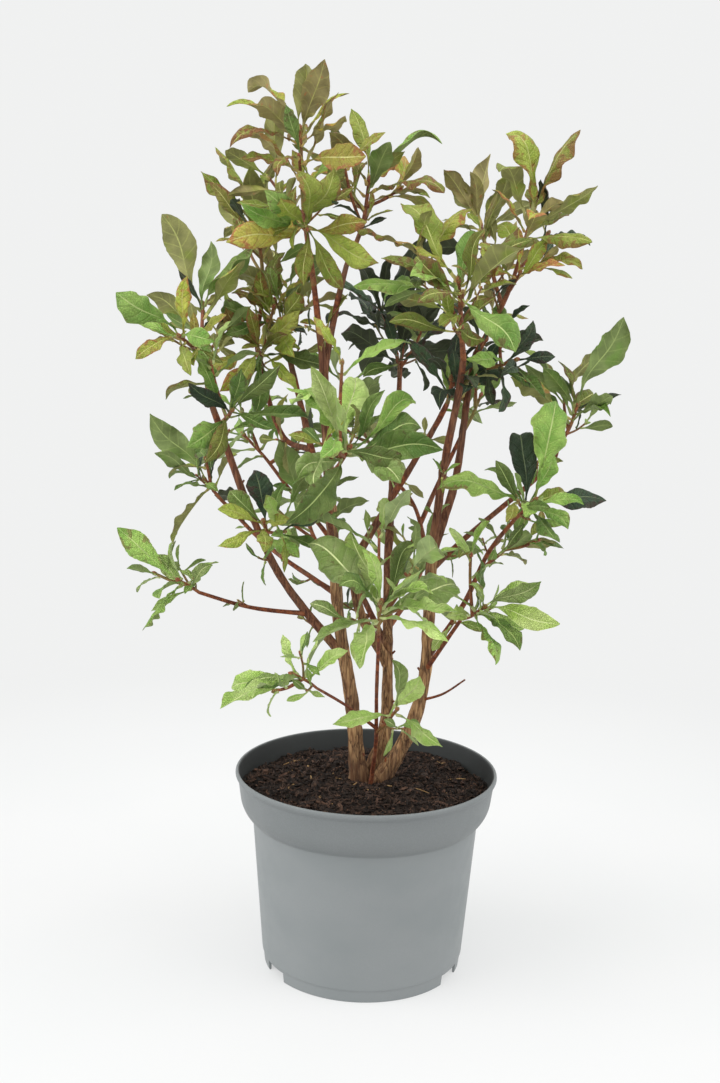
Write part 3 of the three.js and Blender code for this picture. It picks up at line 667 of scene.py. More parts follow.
def grow(mass):
    """The twigs and leaves of a mass: main shoots, side twigs, and then the finer twigs."""
    draw = seeded(mass.seed * SEED_STEP)
    base = limb_route(mass.limb).point(mass.at)
    stem_radius = min(LIMBS[mass.limb].tip, SHOOT.root_radius)
    mains, twigs, leaves = [], [], []
    for index, tip in enumerate(mass.tips):
        start = base if index == 0 else mains[0].point(SHOOT.fork_at)
        end = Vector(tip)
        size = (end - start).length
        first, second = side_frame((end - start).normalized())
        middle = (start + end) / 2 + first * size * draw(*SHOOT.bow)
        middle += second * size * draw(*SHOOT.bow)
        route = Route([start, middle, end])
        mains.append(route)
        root_radius = stem_radius if index == 0 else SHOOT.fork_radius
        twigs.append((route, root_radius, SHOOT.tip_radius))
        leaves += whorl(route, mass.leaves, mass.length, mass.open, draw)
        leaves += reaching_leaves(route, mass.reach[index] if index < len(mass.reach) else [], draw)
    phase = draw(0, 2 * math.pi)
    count = int(mass.leaves * SIDE_TWIG.leaf_count + 0.5)
    length = mass.length * SIDE_TWIG.leaf_length
    for side in range(mass.side):
        t = SIDE_TWIG.lowest + SIDE_TWIG.span * (side + draw(*SIDE_TWIG.place)) / mass.side
        turn = phase + side * GOLDEN_ANGLE
        spread = draw(*SIDE_TWIG.spread)
        route = side_twig(mains[0], t, turn, spread, mass.length * draw(*SIDE_TWIG.length))
        twigs.append((route, SIDE_TWIG.root_radius, SIDE_TWIG.tip_radius))
        leaves += whorl(route, count, length, mass.open, draw)
    fine_twigs, fine_leaves = grow_finer(mass, mains, draw)
    return twigs, leaves, fine_twigs, fine_leaves


def grow_finer(mass, mains, draw):
    """Short twigs with small leaves, along the main shoots of a mass."""
    twigs, leaves = [], []
    for main in mains:
        phase = draw(0, 2 * math.pi)
        count = FINE.each + (main.point(1).z > FINE.crown) + FINE.extra.get(mass.name, 0)
        for number in range(count):
            place = (number + draw(*SIDE_TWIG.place)) / count
            t = FINE.lowest + FINE.span * place
            turn = phase + number * GOLDEN_ANGLE
            spread = draw(*FINE.spread)
            route = side_twig(main, t, turn, spread, mass.length * draw(*FINE.length))
            twigs.append((route, FINE.root_radius, FINE.tip_radius))
            length = mass.length * draw(*FINE.leaf_length)
            leaves += whorl(route, FINE.leaves, length, mass.open, draw)
    return twigs, leaves


def grow_spurs():
    """Spurs with a few small leaves, here and there along the upper boughs."""
    draw = seeded(SPUR.seed)
    twigs, leaves = [], []
    for name, limb in LIMBS.items():
        if limb.parent is None or name == BARE_TWIG:
            continue
        route = limb_route(name)
        count = max(1, int(route.length() / SPUR.spacing))
        for number in range(count):
            t = (number + draw(*SIDE_TWIG.place)) / count
            turn = draw(0, 2 * math.pi)
            size = limb.foot + (limb.tip - limb.foot) * t + draw(*SPUR.length)
            spur = side_twig(route, t, turn, draw(*SPUR.spread), size)
            length = draw(*SPUR.leaf_length)
            if route.point(t).z > SPUR.lowest:
                twigs.append((spur, FINE.root_radius, FINE.tip_radius))
                leaves += whorl(spur, SPUR.leaves, length, SPUR.open, draw)
    return twigs, leaves


# ---- Meshes ----


def lattice(x, y, z, seed):
    """A random number from 0 to 1 for each corner of a grid of whole numbers."""
    mixed = (x * 374761393 + y * 668265263 + z * 1442695041 + seed * 97531) & WORD
    mixed = ((mixed ^ (mixed >> 13)) * 1274126177) & WORD
    return ((mixed ^ (mixed >> 16)) & 0xFFFF) / 0xFFFF


def rough(points, seed):
    """Smooth noise from -1 to 1 over an array of points, with lumps one unit apart."""
    cell = np.floor(points).astype(np.int64)
    share = points - cell
    share = share * share * (3 - 2 * share)
    total = 0
    for corner in range(8):
        step = np.array([corner & 1, corner >> 1 & 1, corner >> 2])
        weight = np.where(step == 1, share, 1 - share).prod(-1)
        x, y, z = np.moveaxis(cell + step, -1, 0)
        total = total + weight * lattice(x, y, z, seed)
    return 2 * total - 1


def smoothstep(low, high, values):
    """0 at low, 1 at high, and a smooth change between."""
    share = np.clip((values - low) / (high - low), 0, 1)
    return share * share * (3 - 2 * share)


class Skin:
    """Collects the quads of one piece, in millimetres."""

    def __init__(self):
        self.points, self.quads, self.kinds, self.marks = [], [], [], []
        self.count = 0

    def add(self, points, quads, kinds, marks):
        """marks is three numbers for each point, which the materials read as "mark"."""
        self.points.append(points)
        self.quads.append(quads + self.count)
        self.kinds.append(np.broadcast_to(kinds, len(quads)))
        self.marks.append(np.broadcast_to(marks, (len(points), 3)))
        self.count += len(points)

    def build(self, name, materials, crease=50):
        points = (np.concatenate(self.points) * MM).astype(np.float32)
        quads = np.concatenate(self.quads).astype(np.int32)
        mesh = bpy.data.meshes.new(name)
        mesh.vertices.add(len(points))
        mesh.vertices.foreach_set("co", points.ravel())
        mesh.loops.add(quads.size)
        mesh.loops.foreach_set("vertex_index", quads.ravel())
        mesh.polygons.add(len(quads))
        mesh.polygons.foreach_set("loop_start", np.arange(0, quads.size, 4, dtype=np.int32))
        kinds = np.concatenate(self.kinds).astype(np.int32)
        mesh.polygons.foreach_set("material_index", kinds)
        mesh.update(calc_edges=True)
        mesh.attributes.new("mark", "FLOAT_VECTOR", "POINT")
        marks = np.concatenate(self.marks).astype(np.float32)
        mesh.attributes["mark"].data.foreach_set("vector", marks.ravel())
        mesh.shade_smooth()
        mesh.set_sharp_from_angle(angle=math.radians(crease))
        for material in materials:
            mesh.materials.append(material)
        piece = bpy.data.objects.new(name, mesh)
        bpy.context.scene.collection.objects.link(piece)
        return piece


def ring_quads(rings, sides):
    """Quads of a closed tube of rings, with a cap of quads at both ends. sides is even."""
    row, side = np.meshgrid(np.arange(rings - 1), np.arange(sides), indexing="ij")
    a = row * sides + side
    b = row * sides + (side + 1) % sides
    walls = np.stack([a, b, b + sides, a + sides], -1).reshape(-1, 4)
    step = np.arange(sides // 2 - 1)
    cap = np.stack([step, sides - 1 - step, sides - 2 - step, step + 1], -1)
    top = cap[:, ::-1] + (rings - 1) * sides
    return np.concatenate([walls, cap, top])


def bark_relief(cos, sin, along, seed):
    """How far the bark stands out at each point round a limb, as a share of its deepest relief."""
    level = np.ones(len(cos)) * along
    grain = np.stack([cos * BARK.ridges, sin * BARK.ridges, level / BARK.ridge_length], -1)
    knots = np.stack([cos, sin, level / BARK.knot_length], -1)
    ridges = 1 - BARK.sharpness * np.abs(rough(grain, seed))
    ridges = ridges + BARK.fine_share * rough(grain * BARK.fine_grain, seed + 1)
    return BARK.ridge_share * ridges + BARK.knot_share * rough(knots, seed + 2)


def add_tube(skin, route, radius_at, sides, step, relief=0.0, seed=0, kind=0):
    """A round limb along a route. radius_at takes t and the height, and relief is the bark's depth."""
    count = max(3, round(route.length() / step))
    across = side_frame(route.heading(0))[0]
    turn = np.arange(sides) / sides * 2 * math.pi
    cos, sin = np.cos(turn), np.sin(turn)
    rings, marks, along = [], [], 0.0
    last = route.point(0)
    for number in range(count + 1):
        t = number / count
        axis = route.heading(t)
        across = (across - axis * across.dot(axis)).normalized()
        upward = axis.cross(across)
        centre = route.point(t)
        along += (centre - last).length
        last = centre
        radius = radius_at(t, centre.z)
        size = np.full(sides, radius)
        if relief:
            size = radius * (1 + relief * bark_relief(cos, sin, along, seed))
        offsets = np.outer(cos * size, across) + np.outer(sin * size, upward)
        rings.append(np.array(centre) + offsets)
        young = smoothstep(BARK.old, BARK.young, radius)
        depth = (size / radius - 1) / relief if relief else 0 * size
        marks.append(np.stack([np.full(sides, young), depth, np.full(sides, along)], -1))
    quads = ring_quads(count + 1, sides)
    skin.add(np.concatenate(rings), quads, kind, np.concatenate(marks))


# ---- Leaves ----

BLADE, MIDRIB, UNDERSIDE = 0, 3, 4  # material slots; 0 to 2 are three shades of the blade
ROW_CROWDING = 0.92  # below 1, the rows lie a little closer together towards the tip


class LeafGrid:
    """Rows along a leaf and columns across it. Both faces share the margin, the root and the tip."""

    def __init__(self, rows, columns):
        self.s = np.linspace(0, 1, rows + 1) ** ROW_CROWDING
        self.v = np.array(columns)
        high, wide = rows + 1, len(columns)
        top = np.arange(high * wide).reshape(high, wide)
        under = top.copy()
        inner = np.arange((high - 2) * (wide - 2)).reshape(high - 2, wide - 2)
        under[1:-1, 1:-1] = inner + high * wide
        front = np.stack([top[:-1, :-1], top[:-1, 1:], top[1:, 1:], top[1:, :-1]], -1)
        back = np.stack([under[:-1, :-1], under[1:, :-1], under[1:, 1:], under[:-1, 1:]], -1)
        self.quads = np.concatenate([front.reshape(-1, 4), back.reshape(-1, 4)])
        rows_of = np.repeat(np.arange(rows), wide - 1)
        columns_of = np.tile(np.arange(wide - 1), rows)
        self.ribbed = (columns_of == (wide - 1) // 2) | (self.s[rows_of] < 1.5 * LEAF.petiole)

    def kinds(self, shade):
        front = np.where(self.ribbed, MIDRIB, BLADE + shade)
        back = np.where(self.ribbed, MIDRIB, UNDERSIDE)
        return np.concatenate([front, back])


FINE_GRID = LeafGrid(32, [-1, -0.74, -0.38, -0.04, 0.04, 0.38, 0.74, 1])
COARSE_GRID = LeafGrid(14, [-1, -0.6, -0.06, 0.06, 0.6, 1])


def half_widths(s, width, habit):
    """Half the width of the blade along the leaf: a wedge at the root, widest past the middle."""
    share = np.clip((s - LEAF.petiole) / (1 - LEAF.petiole), 0, 1)
    power = math.log(0.5) / math.log(habit.widest)
    swell = np.clip(np.sin(math.pi * share**power), 0, 1)
    swell = swell ** np.where(share < habit.widest, habit.wedge, habit.blunt)
    return np.maximum(width * habit.fullness / 2 * swell, LEAF.petiole_radius * (1 - LEAF.petiole_taper * s))


def leaf_habit(dice, leaf):
    """What sets one leaf apart from the next. A small leaf is plainer."""
    grown = min(leaf.length / HABIT.grown_length, 1)
    return SimpleNamespace(
        fullness=dice.uniform(*HABIT.fullness),
        widest=dice.uniform(*HABIT.widest),
        wedge=dice.uniform(*HABIT.wedge),
        blunt=dice.uniform(*HABIT.blunt),
        hook=dice.uniform(*HABIT.hook) * grown,
        sway=dice.uniform(*HABIT.sway),
        roll=dice.uniform(*HABIT.roll) * grown,
        edge=dice.uniform(*HABIT.edge) * grown,
        ripple=dice.uniform(*HABIT.ripple) * leaf.length * grown,
        waves=dice.uniform(*HABIT.waves),
        phases=(dice.random(), dice.random()),
        fold=dice.uniform(*HABIT.fold),
        quilt=dice.uniform(*HABIT.quilt) * grown,
        lobes=[dice.uniform(*lobe) for lobe in HABIT.lobes],
        mark=dice.random(),
        shade=dice.randrange(len(SHADES)),
    )


def leaf_spine(leaf, habit, s):
    """Along a leaf: its middle, and the directions sideways and upward out of the blade."""
    direction, face = np.array(leaf.direction), np.array(leaf.face)
    across = np.cross(direction, face)
    bend = leaf.recurve * s + habit.hook * smoothstep(HABIT.hook_from, 1, s)
    sway = habit.sway * np.cos(2 * math.pi * s)
    heading = (
        np.outer(np.cos(sway) * np.cos(bend), direction)
        - np.outer(np.cos(sway) * np.sin(bend), face)
        + np.outer(np.sin(sway), across)
    )
    steps = (heading[1:] + heading[:-1]) / 2 * np.diff(s)[:, None] * leaf.length
    centre = np.array(leaf.root) + np.vstack([np.zeros(3), np.cumsum(steps, 0)])
    normal = np.outer(np.cos(bend), face) + np.outer(np.sin(bend), direction)
    sideways = np.cross(heading, normal)
    roll = (habit.roll * s)[:, None]
    turned = sideways * np.cos(roll) + normal * np.sin(roll)
    return centre, turned, normal * np.cos(roll) - sideways * np.sin(roll)


def add_leaf(skin, leaf, habit, grid):
    """A leaf with a keeled blade, a wavy and lobed margin, sunken veins, a rib and a stalk."""
    s, v = grid.s[:, None], grid.v[None, :]
    out = np.abs(v)
    centre, sideways, normal = leaf_spine(leaf, habit, grid.s)
    half = half_widths(grid.s, leaf.width, habit)[:, None]
    body = np.sin(math.pi * np.clip(s, 0, 1)) ** 0.5
    phase = np.where(v > 0, *habit.phases)
    ripple = habit.ripple * np.sin(2 * math.pi * (habit.waves * s + phase)) * out**2.2 * body
    veins = 1 - 2 * np.abs(np.sin(math.pi * (SIDE_VEINS * s - out)))
    quilt = habit.quilt * veins * body * out * (1 - out**3)
    groove = GROOVE[0] * np.exp(-((v / GROOVE[1]) ** 2)) * body
    fold = habit.fold * leaf.cup
    lift = half * (math.sin(fold) * out - habit.edge * out**4) + ripple - quilt - groove
    notched = 1.0
    for depth, waves in zip(habit.lobes, HABIT.lobe_waves):
        shift = HABIT.lobe_shift * waves * phase
        notched = notched + depth * np.sin(2 * math.pi * (waves * s + shift))
    top = (
        centre[:, None, :]
        + sideways[:, None, :] * (v * half * math.cos(fold) * notched)[..., None]
        + normal[:, None, :] * lift[..., None]
    )
    rib = RIB[0] * np.exp(-((v / RIB[1]) ** 2)) * (1.1 - s)
    stalk = 1.5 * LEAF.petiole_radius * (1 - smoothstep(*STALK_END, s))
    thickness = LEAF.blade_thickness * (1 - out**4) + rib + stalk
    under = (top - normal[:, None, :] * thickness[..., None])[1:-1, 1:-1]
    place = np.stack(np.broadcast_arrays(s, v, habit.mark), -1)
    marks = np.concatenate([place.reshape(-1, 3), place[1:-1, 1:-1].reshape(-1, 3)])
    points = np.concatenate([top.reshape(-1, 3), under.reshape(-1, 3)])
    skin.add(points, grid.quads, grid.kinds(habit.shade), marks)


def stray_tint(dice, tint, spray=None):
    """The tint of a spray's next leaf, which strays now and then from the spray's own."""
    chance = dice.random()
    for share, other in SPRAY_STRAYS.get(spray, STRAYS[tint]):
        if chance < share:
            return other
        chance -= share
    return tint


def add_leaves(skins, leaves, grid, dice, tint, spray=None):
    """Deals leaves out over the skins of the tints."""
    for leaf in leaves:
        skin = skins[stray_tint(dice, tint, spray)]
        add_leaf(skin, leaf, leaf_habit(dice, leaf), grid)


def add_bud(skin, route, size, dice):
    """A pointed bud at the tip of a twig."""
    base = route.point(1)
    axis = route.heading(1)
    tip = base + axis * size * BUD.length
    swell = dice.uniform(*BUD.swell)

    def radius_at(t, _):
        bulge = math.sin(math.pi * (BUD.start + (1 - BUD.start) * t)) ** BUD.roundness
        return size * swell * max(BUD.bluntness, bulge)

    route = Route([base - axis * BUD.sunk, (base + tip) / 2, tip])
    add_tube(skin, route, radius_at, BUD.sides, size * BUD.step)


# ---- Materials ----


def srgb(colour):
    """A colour given as 0 to 255 for each channel, as the linear colour that Blender takes."""
    scaled = [channel / 255 for channel in colour]
    linear = [c / 12.92 if c <= 0.04045 else ((c + 0.055) / 1.055) ** 2.4 for c in scaled]
    return (*linear, 1.0)


class Paint:
    """A procedural material: short calls that add nodes and give back the socket they make."""

    def __init__(self, name, **constants):
        self.material = bpy.data.materials.new(name)
        self.material.use_nodes = True
        self.nodes = self.material.node_tree.nodes
        self.links = self.material.node_tree.links
        self.nodes.clear()
        self.shader = self.nodes.new("ShaderNodeBsdfPrincipled")
        output = self.nodes.new("ShaderNodeOutputMaterial")
        self.links.new(self.shader.outputs["BSDF"], output.inputs["Surface"])
        self.set(**constants)
        self.place = self.node("TexCoord", {}, "Object")

    def put(self, value, socket):
        if isinstance(value, bpy.types.NodeSocket):
            self.links.new(value, socket)
        else:
            socket.default_value = value

    def set(self, **sockets):
        """Sets the shader's own sockets, by their names in lower case."""
        for socket in self.shader.inputs:
            name = socket.name.lower().replace(" ", "_")
            if name in sockets:
                self.put(sockets[name], socket)

    def node(self, kind, inputs, output, **settings):
        """Adds a node, puts numbers or sockets into its inputs, and gives back one output."""
        node = self.nodes.new("ShaderNode" + kind)
        for name, value in settings.items():
            setattr(node, name, value)
        for name, value in inputs.items():
            self.put(value, node.inputs[name])
        return node.outputs[output]

    def stretched(self, x, y, z):
        return self.node("Mapping", {"Vector": self.place, "Scale": (x, y, z)}, "Vector")

    def noise(self, scale, detail=3.0, place=None, warp=0.0):
        inputs = {"Vector": place or self.place, "Scale": scale, "Detail": detail, "Distortion": warp}
        return self.node("TexNoise", inputs, "Fac")

    def cells(self, scale):
        inputs = {"Vector": self.place, "Scale": scale}
        return self.node("TexVoronoi", inputs, "Distance", feature="DISTANCE_TO_EDGE")

    def fade(self, value, low, high, start=0.0, end=1.0):
        """Start below low, end above high, and a smooth change between."""
        inputs = {"Value": value, "From Min": low, "From Max": high, "To Min": start, "To Max": end}
        return self.node("MapRange", inputs, "Result", interpolation_type="SMOOTHSTEP")

    def maths(self, operation, first, second=0.0):
        return self.node("Math", {0: first, 1: second}, "Value", operation=operation)

    def mix(self, share, first, second):
        return self.node("Mix", {0: share, 6: first, 7: second}, 2, data_type="RGBA")

    def reach(self):
        """How far a place is from the origin."""
        return self.node("VectorMath", {0: self.place}, "Value", operation="LENGTH")

    def height(self):
        return self.node("SeparateXYZ", {"Vector": self.place}, "Z")

    def mark(self):
        """The three numbers that the mesh keeps for each point."""
        vector = self.node("Attribute", {}, "Vector", attribute_name="mark")
        first = self.node("SeparateXYZ", {"Vector": vector}, "X")
        return tuple(first.node.outputs)

    def bump(self, height, strength, distance):
        inputs = {"Strength": strength, "Distance": distance, "Height": height}
        self.set(normal=self.node("Bump", inputs, "Normal"))


# Colours of each tint: blade, its paler patches, blotches, veins, underside, and the share that
# the blotches cover.
LEAF_COLOURS = {
    "fresh": ((146, 180, 82), (180, 202, 122), (128, 130, 64), (202, 212, 146), (172, 190, 130), 0.22),
    "mid": ((104, 144, 56), (146, 178, 86), (108, 88, 50), (170, 188, 112), (140, 158, 96), 0.32),
    "olive": ((130, 150, 50), (164, 176, 78), (146, 96, 58), (190, 194, 112), (156, 156, 98), 0.46),
    "bronze": ((146, 160, 50), (180, 184, 80), (166, 96, 62), (200, 196, 118), (172, 160, 108), 0.6),
    "dark": ((44, 64, 44), (68, 92, 60), (72, 46, 44), (100, 114, 76), (78, 84, 64), 0.42),
}
SHADES = (0.8, 0.97, 1.1)  # how bright each of a tint's three blades is
RUSTY = 0.35  # a tint whose blotches cover more than this has a rusty rim, the others a pale one

# Colours of the wood: dark, light, and for a twig its flush, which comes in patches.
OLD_WOOD = ((128, 92, 62), (192, 152, 108))
BOUGH_WOOD = ((84, 50, 38), (140, 94, 68))
SHOOT_WOOD = ((104, 54, 36), (150, 84, 50))
TWIG_WOOD = ((104, 54, 38), (146, 84, 52), (126, 122, 64))
FINE_TWIG_WOOD = ((96, 60, 42), (134, 96, 60), (128, 138, 74))
BARK_PATCH = (104, 68, 50)
BARK_CRACK = (66, 44, 34)
# For the relief's hollows: the fissures' darker brown, deepened as painted shade.
BARK_HOLLOW_SHADE = (54, 36, 28)
BOUGH_HOLLOW_SHADE = (60, 34, 28)
LICHEN = (148, 132, 112)
PORE = (186, 150, 112)
BUD_SCALES = ((150, 132, 70), (176, 92, 62))
BUD_GAP = (92, 54, 38)

# Colours of the pot's plastic, of its worn places, and its roughness.
OUTSIDE_PLASTIC = ((130, 135, 136), (136, 140, 141), 0.5)
# the same plastic as outside, darkened as painted shade
SHADED_INSIDE_PLASTIC = ((64, 67, 67), (70, 73, 73), 0.55)

# Colours of the compost: hollows, ridges and flecks, and the share of it that the flecks cover.
# The hollows' colour is the peat's dark brown, deepened as painted shade.
COMPOST_COLOURS = {
    "peat": ((16, 12, 10), (54, 43, 37), (92, 72, 56), 0.0),
    "bark": ((30, 22, 19), (78, 60, 50), (112, 86, 68), 0.02),
    "chip": ((62, 45, 37), (106, 80, 66), (140, 112, 92), 0.02),
    "fleck": ((140, 108, 72), (184, 150, 106), (206, 178, 136), 0.05),
}


def shaded(colour, shade):
    return srgb([min(channel * shade, 255) for channel in colour])


def vein_lines(paint, along, across):
    """How far a place is from the nearest side vein, as a share of the step between them."""
    strokes = paint.maths("MULTIPLY", along, SIDE_VEINS)
    return paint.maths("PINGPONG", paint.maths("SUBTRACT", strokes, across), 0.5)


def blade_material(tint, number):
    """A green with paler patches, blotches that crowd to the margin and the tip, and faint veins."""
    base, pale, blotch, vein, _, cover = LEAF_COLOURS[tint]
    shade = SHADES[number]
    paint = Paint(f"leaf_{tint}_{number + 1}", specular_ior_level=0.35)
    along, across, chance = paint.mark()
    out = paint.maths("ABSOLUTE", across)
    patches = paint.fade(paint.noise(52, 4), 0.38, 0.66)
    colour = paint.mix(patches, shaded(base, shade), shaded(pale, shade))
    near_edge = paint.fade(out, 0.45, 1.0, 0.0, 0.13)
    near_tip = paint.fade(along, 0.5, 1.0, 0.0, 0.08)
    drift = paint.fade(paint.noise(17, 1), 0.35, 0.65, 0.0, 0.16)
    crowding = paint.maths("ADD", paint.maths("ADD", near_edge, near_tip), drift)
    spots = paint.maths("ADD", paint.noise(170, 7, warp=0.5), crowding)
    low = 0.86 - 0.34 * cover
    colour = paint.mix(paint.fade(spots, low, low + 0.1, 0, 0.8), colour, shaded(blotch, shade))
    lines = vein_lines(paint, along, out)
    veins = paint.fade(lines, 0.0, 0.08, 0.34, 0.0)
    colour = paint.mix(veins, colour, shaded(vein, shade))
    mottle = paint.fade(paint.noise(230, 5, warp=0.3), 0.5, 0.63, 0.0, 0.55 * cover)
    colour = paint.mix(mottle, colour, shaded(blotch, 0.9 * shade))
    colour = paint.mix(paint.fade(chance, 0.4, 1.0, 0.0, 0.22), colour, shaded(pale, shade))
    colour = paint.mix(paint.fade(chance, 0.4, 0.0, 0.0, 0.3), colour, shaded(blotch, shade))
    rim = blotch if cover > RUSTY else vein
    colour = paint.mix(paint.fade(out, 0.9, 1.0, 0.0, 0.45), colour, shaded(rim, shade))
    paint.set(base_color=colour, roughness=paint.fade(paint.noise(120, 3), 0.3, 0.7, 0.44, 0.6))
    net = paint.fade(paint.cells(560), 0.0, 0.16)
    paint.bump(paint.maths("ADD", net, paint.fade(lines, 0.0, 0.2, 0.0, 1.5)), 0.7, 0.001)
    return paint.material


def rib_material(tint):
    """The midrib and the stalk, flushed towards the root."""
    _, _, blotch, vein, _, cover = LEAF_COLOURS[tint]
    paint = Paint(f"leaf_{tint}_rib", roughness=0.5)
    along, _, _ = paint.mark()
    tone = paint.mix(paint.fade(paint.noise(90), 0.4, 0.7), srgb(vein), shaded(vein, 0.82))
    flush = paint.fade(along, 0.25, 0.0, 0.0, 0.15 + 0.4 * cover)
    paint.set(base_color=paint.mix(flush, tone, shaded(blotch, 1.25)))
    paint.bump(paint.noise(900, 2), 0.2, 0.0003)
    return paint.material


def underside_material(tint):
    """Paler and duller than the blade, with its veins."""
    base, _, blotch, vein, under, cover = LEAF_COLOURS[tint]
    paint = Paint(f"leaf_{tint}_underside", roughness=0.68, specular_ior_level=0.25)
    along, across, _ = paint.mark()
    tone = paint.mix(paint.fade(paint.noise(60, 4), 0.35, 0.7), srgb(under), shaded(under, 0.82))
    green = paint.fade(paint.noise(38, 3), 0.5, 0.68, 0.0, 0.5)
    tone = paint.mix(green, tone, shaded(base, 1.08))
    spots = paint.fade(paint.noise(170, 5), 0.78 - 0.3 * cover, 0.9 - 0.3 * cover, 0, 0.5)
    tone = paint.mix(spots, tone, shaded(blotch, 1.2))
    lines = vein_lines(paint, along, paint.maths("ABSOLUTE", across))
    tone = paint.mix(paint.fade(lines, 0.0, 0.1, 0.35, 0.0), tone, srgb(vein))
    paint.set(base_color=tone)
    paint.bump(paint.fade(paint.cells(420), 0.0, 0.2), 0.35, 0.0004)
    return paint.material


def bark_material():
    """Fissured tan bark on old wood, red-brown on boughs and orange-red on young shoots."""
    paint = Paint("bark", specular_ior_level=0.3)
    young, depth, _ = paint.mark()
    stretched = paint.stretched(1, 1, 0.1)
    grain = paint.noise(520, 6, stretched, 0.4)
    old = paint.mix(paint.fade(grain, 0.34, 0.66), *map(srgb, OLD_WOOD))
    patches = paint.fade(paint.noise(34, 3, warp=0.4), 0.46, 0.68, 0.0, 0.6)
    strips = paint.maths("ABSOLUTE", paint.maths("SUBTRACT", paint.noise(250, 4, stretched, 0.6), 0.5))
    # darker towards the compost
    darker_low = paint.fade(paint.height(), 0.16, 0.205, 0.5, 0.0)
    for share, colour in (
        (patches, BARK_PATCH),
        (paint.fade(strips, 0.0, 0.045, 0.8, 0.0), BARK_CRACK),
        # painted shade, with the fissures' own darker brown, where the relief sinks
        (paint.fade(depth, -1.5, -0.1, 0.85, 0.0), BARK_HOLLOW_SHADE),
        (darker_low, BARK_CRACK),
    ):
        old = paint.mix(share, old, srgb(colour))
    bough = paint.mix(paint.fade(grain, 0.3, 0.7), *map(srgb, BOUGH_WOOD))
    # painted shade in the hollows of a bough's relief
    bough = paint.mix(paint.fade(depth, -1.4, 0.0, 0.6, 0.0), bough, srgb(BOUGH_HOLLOW_SHADE))
    shoot = paint.mix(paint.fade(paint.noise(260, 4), 0.4, 0.65), *map(srgb, SHOOT_WOOD))
    ageing = paint.maths("ADD", young, paint.fade(paint.noise(60, 2), 0.3, 0.7, -0.16, 0.16))
    colour = paint.mix(paint.fade(ageing, 0.05, 0.5), old, bough)
    colour = paint.mix(paint.fade(ageing, 0.66, 1.0), colour, shoot)
    grey = paint.fade(paint.noise(75, 5, stretched), 0.56, 0.74, 0.0, 0.28)
    colour = paint.mix(grey, colour, srgb(LICHEN))
    paint.set(base_color=colour, roughness=paint.fade(young, 0.2, 1.0, 0.9, 0.6))
    furrows = paint.fade(strips, 0.0, 0.08, 0.0, 0.6)
    paint.bump(paint.maths("ADD", grain, furrows), 0.8, 0.0014)
    return paint.material


def twig_material(name, dark, light, tip):
    """Young wood: smooth, with patches of a flush and pale pores."""
    paint = Paint(name, specular_ior_level=0.3)
    _, _, along = paint.mark()
    tone = paint.mix(paint.fade(paint.noise(210, 5), 0.38, 0.64), srgb(dark), srgb(light))
    tone = paint.mix(paint.fade(paint.noise(23, 2), 0.48, 0.66, 0.0, 0.75), tone, srgb(tip))
    tone = paint.mix(paint.fade(paint.cells(640), 0.0, 0.08, 0.35, 0.0), tone, srgb(PORE))
    paint.set(base_color=tone, roughness=paint.fade(along, 0.0, 60.0, 0.66, 0.52))
    paint.bump(paint.noise(700, 4, paint.stretched(1, 1, 0.3)), 0.5, 0.0006)
    return paint.material


def bud_material():
    """Overlapping scales, yellow-green and red, with dark gaps."""
    paint = Paint("bud", roughness=0.5)
    tone = paint.mix(paint.fade(paint.noise(320, 3), 0.4, 0.62), *map(srgb, BUD_SCALES))
    scales = paint.fade(paint.cells(760), 0.0, 0.12)
    paint.set(base_color=paint.mix(scales, srgb(BUD_GAP), tone))
    paint.bump(scales, 0.6, 0.0005)
    return paint.material


def plastic_material(name, tone, worn, roughness):
    """Moulded matte plastic with a fine stipple and a faint unevenness, darker round the collar as painted
    shade.
    """
    paint = Paint(name, specular_ior_level=0.4)
    flow = paint.noise(14, 3, paint.stretched(1, 1, 1.6))
    colour = paint.mix(paint.fade(flow, 0.3, 0.7), srgb(tone), srgb(worn))
    # painted shade: above the wall's top the plastic is darkened, for the collar's shade
    above = (POT.wall_top * MM, (POT.wall_top + COLLAR_SHADE_EDGE) * MM)
    collar = paint.fade(paint.height(), *above, 0.0, 0.42)
    colour = paint.mix(collar, colour, shaded(tone, 0.7))
    speckle = paint.fade(paint.noise(900, 3), 0.35, 0.7, 0.0, 0.35)
    colour = paint.mix(speckle, colour, srgb(tone))
    gloss = paint.fade(paint.noise(70, 5), 0.3, 0.7, roughness - 0.04, roughness + 0.06)
    paint.set(base_color=colour, roughness=gloss)
    paint.bump(paint.noise(1500, 2), 0.12, 0.0003)
    return paint.material


def compost_material(name, dark, light, fleck, share):
    """Damp peat and bark: fibrous, its hollows darkened to nearly black as painted shade, with pale flecks.
    """
    paint = Paint(name, specular_ior_level=0.25)
    fibres = paint.noise(300, 8, paint.stretched(1, 0.55, 1), 1.8)
    # painted shade: the darker colour goes where the bump sinks
    colour = paint.mix(paint.fade(fibres, 0.36, 0.66), srgb(dark), srgb(light))
    flecks = paint.fade(paint.noise(520, 4), 0.72 - share, 0.78 - share)
    colour = paint.mix(flecks, colour, srgb(fleck))
    paint.set(base_color=colour, roughness=paint.fade(fibres, 0.3, 0.7, 0.75, 0.95))
    paint.bump(fibres, 0.9, 0.0015)
    return paint.material


# ---- Pot and compost ----


def arc(start, middle, end, steps):
    """Points on a curve from start to end that is pulled towards middle."""
    for step in range(steps + 1):
        w = step / steps
        shares = ((1 - w) ** 2, 2 * w * (1 - w), w * w)
        yield tuple(sum(s * c[axis] for s, c in zip(shares, (start, middle, end))) for axis in (0, 1))


